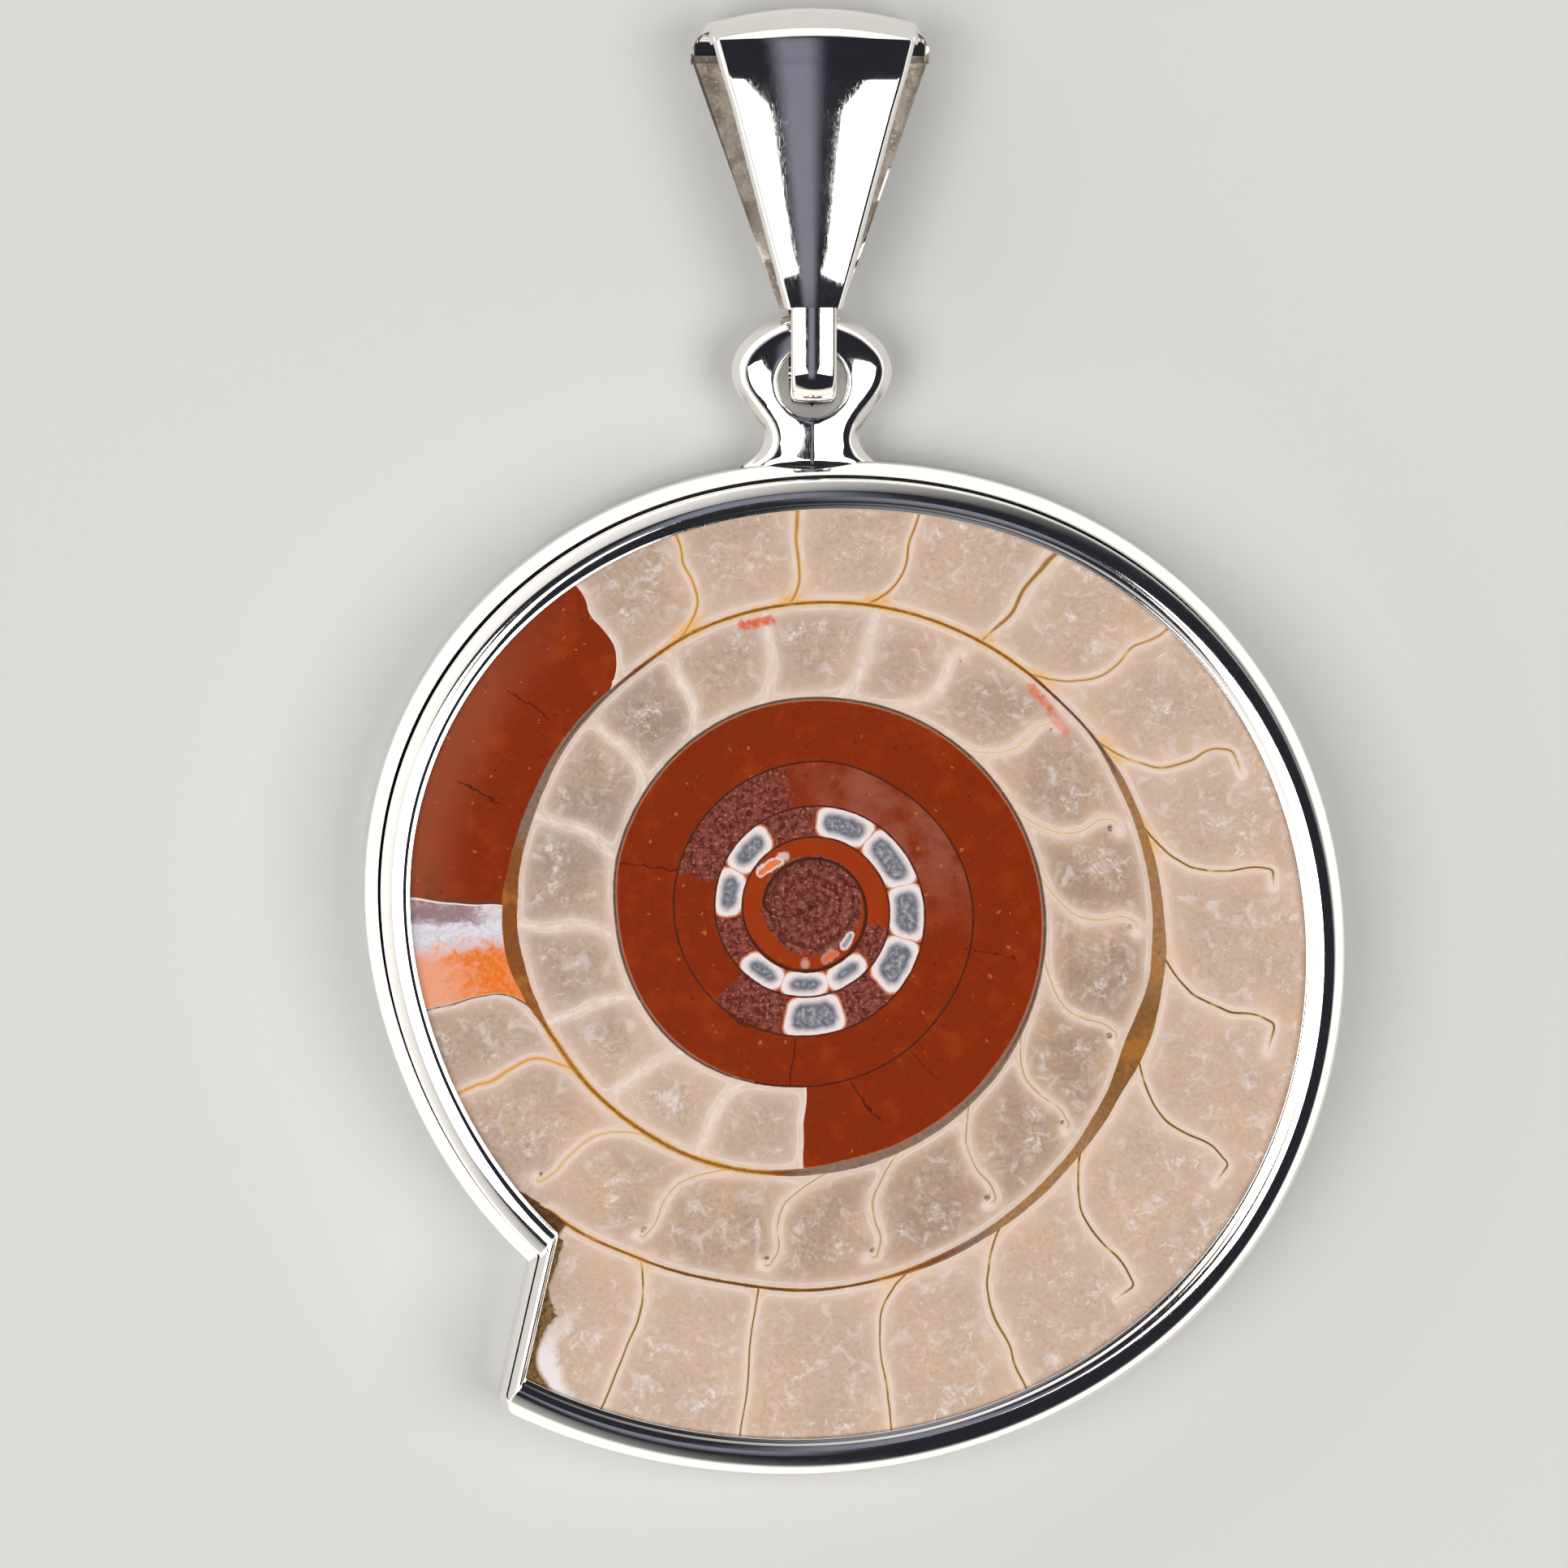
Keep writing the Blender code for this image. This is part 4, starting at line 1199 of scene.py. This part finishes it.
def drawMiddle(tree, f, mud):
    # grains and the ring of small chambers round the middle, on brighter mud
    do, soft, times, lay, rough = bound(tree, f.jitter)
    away = distance(tree, f.flat, (*middlePlace, 0))
    mud = lay(mud, "mudMiddle", soft(away, 3.0, 2.5), 0.6)
    grain = lay("grainDark", "grain", soft(f.grain, 0.36, 0.62))
    grain = lay(grain, "grainLight", soft(f.speck, 0.58, 0.70))
    coarse = soft(rough(f.grainAlong, 0.9), 0.12, -0.12)
    mud = lay(mud, grain, times(coarse, soft(f.turn, -940, -955)), 0.8)
    rings = soft(do("SINE", rough(times(away, 14.0), 3.0)), 0.2, 0.9)
    disc = lay(grain, "discRing", rings, 0.5)
    mud = lay(mud, disc, soft(rough(away, 0.5), 1.82, 1.68), 0.9)
    across = times(do("SUBTRACT", do("ABSOLUTE", do("SUBTRACT", f.share, 0.5)), 0.5), f.whorlWide)
    ringed = times(soft(f.turn, -1527, -1524), soft(f.turn, -1102, -1105))
    waved = rounded(tree, f.cellAlong, do("ADD", across, 0.03), 0.34)
    waved = rough(waved, 0.10)
    mud = lay(mud, "cellSkin", soft(waved, 0.09, 0.03), ringed, 0.8)
    mud = lay(mud, "cellRim", soft(waved, 0.02, -0.03), ringed)
    core = rough(rounded(tree, f.cellAlong, across, 0.55), 0.20)
    heart = lay("cellDark", "cellLight", soft(f.fine, 0.38, 0.68))
    heart = lay(heart, "cellEdge", soft(core, -0.46, -0.30), 0.7)
    mud = lay(mud, heart, soft(core, -0.07, -0.36), ringed)
    for start, end, width, rim, tone in middleSpots:
        close = capsule(tree, f.bent, start, end)
        mud = lay(mud, "cellRim", soft(close, width + 0.1, width + 0.02), rim)
        mud = lay(mud, tint(*tone), soft(close, width + 0.02, width - 0.04))
    return mud


def drawWalls(tree, f, colour, red):
    # the walls between the whorls, with a golden glow beside them where they are golden
    do, soft, times, lay, rough = bound(tree, f.jitter)
    golden = soft(do("ABSOLUTE", do("SUBTRACT", f.wallTone, 0.3)), 0.12, 0.03)
    golden = times(golden, f.smudged, do("SUBTRACT", 1.0, red), f.walled)
    colour = lay(colour, "wallGlow", soft(f.pastWall, 0.13, 0.0), golden, 0.75)
    tone = add(tree, "ValToRGB", {0: f.wallTone})
    ramp = tone.color_ramp.elements
    ramp[0].color, ramp[1].color = stone["wallDark"], stone["olive"]
    for position, key in wallStops:
        ramp.new(position).color = stone[key]
    wall = lay(tone.outputs[0], "line", soft(f.fine, 0.35, 0.7), 0.35)
    wall = lay(wall, "wallBlotch", soft(f.blotch, 0.5, 0.62), soft(f.wallHalf, 0.1, 0.2), 0.6)
    wall = lay(wall, "wallSpeck", soft(f.speck, 0.62, 0.7), 0.6)
    colour = lay(colour, wall, soft(f.pastWall, 0.025, -0.01))
    thin = times(soft(f.toWall, 0.04, 0.012), f.broken, f.walled)
    return lay(colour, "wallDark", thin, soft(f.wallHalf, 0.14, 0.09), 0.75)


def drawMouth(tree, f, colour):
    # dark earth in the notch and along the mouth, where the last chamber ends in a bright rim
    do, soft, times, lay, rough = bound(tree, f.jitter)
    cleft = rough(times(do("SUBTRACT", 1.0, f.share), f.whorlWide), 0.2)
    cleft = do("SUBTRACT", cleft, times(soft(f.turn, 13, 1), 0.52))
    cleft = times(soft(cleft, 0.03, -0.03), soft(f.turn, 13, 11), soft(f.turn, -0.3, 0.3))
    colour = lay(colour, lay("matrix", "matrixLight", soft(f.fine, 0.4, 0.65)), cleft)
    last = soft(f.turn, 328, 333)
    place = add(tree, "SeparateXYZ", {0: f.bent}).outputs
    near, nearer = [distance(tree, f.bent, (*centre, 0)) for centre in mouthCircles]
    rim = times(soft(near, 1.86, 1.74), soft(rough(nearer, 0.6), 1.5, 1.85), last)
    bright = do("MULTIPLY_ADD", soft(place["Y"], -14.4, -15.9), 0.55, 0.35)
    colour = lay(colour, "mouthRim", rim, soft(place["X"], -7.7, -8.6), bright)
    strip = do("MULTIPLY_ADD", soft(place["Y"], -13.2, -16.8), 0.8, 0.25)
    soil = do("SUBTRACT", rough(capsule(tree, f.bent, *mouthEdge), 0.25), strip)
    soil = times(soft(soil, 0.05, -0.05), soft(near, 1.84, 1.94), last)
    return lay(colour, lay("soil", "soilDark", soft(f.fine, 0.38, 0.65)), soil)


def cutFace():
    material, tree, shader = startMaterial("cutFace")
    f = startFace(tree)
    do, soft, times, lay, rough = bound(tree, f.jitter)
    findLines(tree, f)
    colour = drawMilk(tree, f, drawSepta(tree, f, drawCalcite(tree, f)))
    mud = drawMiddle(tree, f, drawMud(tree, f))
    # the mud's peach-coloured skin along the wall
    skin = times(soft(f.pastWall, 0.075, 0.01), soft(f.turn, -735, -720), soft(f.turn, 110, 100))
    mud = lay(mud, "mudSkin", skin, 0.75, soft(f.share, 0.4, 0.6))
    inner = soft(f.place, f.middleTo + 0.005, f.middleTo - 0.005)
    stretch = times(soft(f.border, -0.003, 0.003), soft(f.place, f.redTo + 0.004, f.redTo - 0.004))
    red = do("MAXIMUM", inner, stretch)
    colour = drawWalls(tree, f, lay(colour, mud, red), red)
    # red stains
    for start, end, width, strength in stains:
        stain = rough(capsule(tree, f.flat, start, end), 0.35)
        colour = lay(colour, "stain", soft(stain, width, width * 0.3), soft(f.fine, 0.2, 0.55), strength)
    colour = drawMouth(tree, f, colour)
    gloss = {"Roughness": 0.5, "Specular IOR Level": 0.05, "Coat Weight": 0.2, "Coat Roughness": 0.05}
    plug(tree, shader, {"Base Color": colour, **gloss})
    return material


backFinish = {
    "pale": tint(176, 146, 118),
    "brown": tint(132, 92, 66),
    "dark": tint(92, 62, 44),
    "fineDeep": 0.04,
    "roughness": 0.45,
}


def backShell():
    material, tree, shader = startMaterial("backShell")
    where = millimetres(tree)
    fine = noise(tree, where, 6.0, 3.0, 0.6)
    cloudy = fade(tree, noise(tree, where, 0.8, 4.0, 0.6), 0.35, 0.7)
    dusty = calc(tree, "MULTIPLY", fade(tree, fine, 0.4, 0.7), 0.4)
    colour = mix(tree, cloudy, backFinish["pale"], backFinish["brown"])
    colour = mix(tree, dusty, colour, backFinish["dark"])
    sockets = {"Height": fine, "Strength": 0.3, "Distance": backFinish["fineDeep"] * mm}
    bump = add(tree, "Bump", sockets).outputs[0]
    plug(tree, shader, {"Base Color": colour, "Normal": bump, "Roughness": backFinish["roughness"]})
    return material


bm = bmesh.new()
spread(bm, face, 0)
spread(bm, back, 1)
spread(bm, side, 1)
weld(bm)
fossil = addPiece("ammonite_shell", bm, "pendant", [cutFace(), backShell()], ["ammonite_half"])
markFace(fossil.data)
print("fossil ready")

# Floor, backdrop, lights and camera
studio = {
    "floor": (0.66, 0.66, 0.65, 1),
    "floorRough": 0.8,
    "floorShine": 0.2,
    "floorSize": 1.5,
    "backdrop": (0.88, 0.88, 0.87, 1),
    "horizon": (1.2, 1.17, 1.12, 1),
    "ceiling": (0.02, 0.021, 0.028, 1),
    "ceilingFrom": (0.28, 0.5),
    "ceilingTilt": (0.20, -0.12),
    "skylight": (0.22, 0.225, 0.285, 1),
    "skylightPlace": 0.03,
    "aim": (-0.914, 4.36, 4.6),
    "lean": (-2.7, 3.5),  # degrees the camera stands to the left of and above the middle
    "distance": 0.35,
    "lens": 230,
    "lampPlace": (0.33, -0.08, 0.60),
    "lampSize": (0.46, 0.40),
    "lampPower": 2.6,
    "lampColour": (1.0, 0.985, 0.96),
}
bm = bmesh.new()
bmesh.ops.create_grid(bm, x_segments=1, y_segments=1, size=studio["floorSize"])
floorMesh = bpy.data.meshes.new("floor")
bm.to_mesh(floorMesh)
bm.free()
floor = bpy.data.objects.new("floor", floorMesh)
bpy.context.scene.collection.objects.link(floor)
# pale paper, which a camera below it looks through
material, tree, shader = startMaterial("paleFloor")
paper = {"Base Color": studio["floor"], "Roughness": studio["floorRough"]}
plug(tree, shader, {**paper, "Specular IOR Level": studio["floorShine"]})
under = add(tree, "NewGeometry").outputs["Backfacing"]
seen = add(tree, "LightPath").outputs["Is Camera Ray"]
clear = add(tree, "BsdfTransparent").outputs[0]
shown = add(tree, "MixShader", {0: calc(tree, "MULTIPLY", under, seen), 1: shader.outputs[0], 2: clear})
tree.links.new(shown.outputs[0], tree.nodes["Material Output"].inputs["Surface"])
floorMesh.materials.append(material)

# a pale horizon under a dark ceiling with a long skylight; the backdrop behind the object is plain
world = bpy.data.worlds.new("studioWorld")
world.use_nodes = True
bpy.context.scene.world = world
tree = world.node_tree
sky = add(tree, "SeparateXYZ", {0: add(tree, "TexCoord").outputs["Generated"]}).outputs
tiltX, tiltY = studio["ceilingTilt"]
tilted = calc(tree, "MULTIPLY_ADD", sky["X"], tiltX, sky["Z"])
tilted = calc(tree, "MULTIPLY_ADD", sky["Y"], tiltY, tilted)
glow = mix(tree, fade(tree, tilted, *studio["ceilingFrom"]), studio["horizon"], studio["ceiling"])
aside = calc(tree, "ABSOLUTE", calc(tree, "ADD", sky["X"], studio["skylightPlace"]))
overhead = calc(tree, "MULTIPLY", fade(tree, aside, 0.14, 0.04), fade(tree, sky["Z"], 0.72, 0.92))
glow = mix(tree, overhead, glow, studio["skylight"])
plainBack = mix(tree, add(tree, "LightPath").outputs["Is Camera Ray"], glow, studio["backdrop"])
tree.links.new(plainBack, tree.nodes["Background"].inputs["Color"])

for name, sideways in (("lampLeft", -1), ("lampRight", 1)):
    lamp = bpy.data.objects.new(name, bpy.data.lights.new(name, "AREA"))
    lamp.data.shape = "RECTANGLE"
    lamp.data.size, lamp.data.size_y = studio["lampSize"]
    lamp.data.energy = studio["lampPower"]
    lamp.data.color = studio["lampColour"]
    lamp.location = Vector(studio["lampPlace"]) * Vector((sideways, 1, 1))
    lamp.rotation_euler = lamp.location.to_track_quat("Z", "Y").to_euler()
    lamp.visible_camera = False
    bpy.context.scene.collection.objects.link(lamp)

aim = spiralCentre + Vector(studio["aim"]) * mm
away = Vector((*[math.tan(math.radians(lean)) for lean in studio["lean"]], 1))
across = Vector((0, 1, 0)).cross(away).normalized()
facing = away.normalized()
camera = bpy.data.objects.new("camera", bpy.data.cameras.new("camera"))
camera.data.sensor_width = 36
camera.data.lens = studio["lens"]
camera.data.clip_start = 0.01
camera.location = aim + away * studio["distance"]
camera.rotation_euler = Matrix((across, facing.cross(across), facing)).transposed().to_euler()
bpy.context.scene.collection.objects.link(camera)
bpy.context.scene.camera = camera
bpy.context.scene.view_settings.view_transform = "Standard"
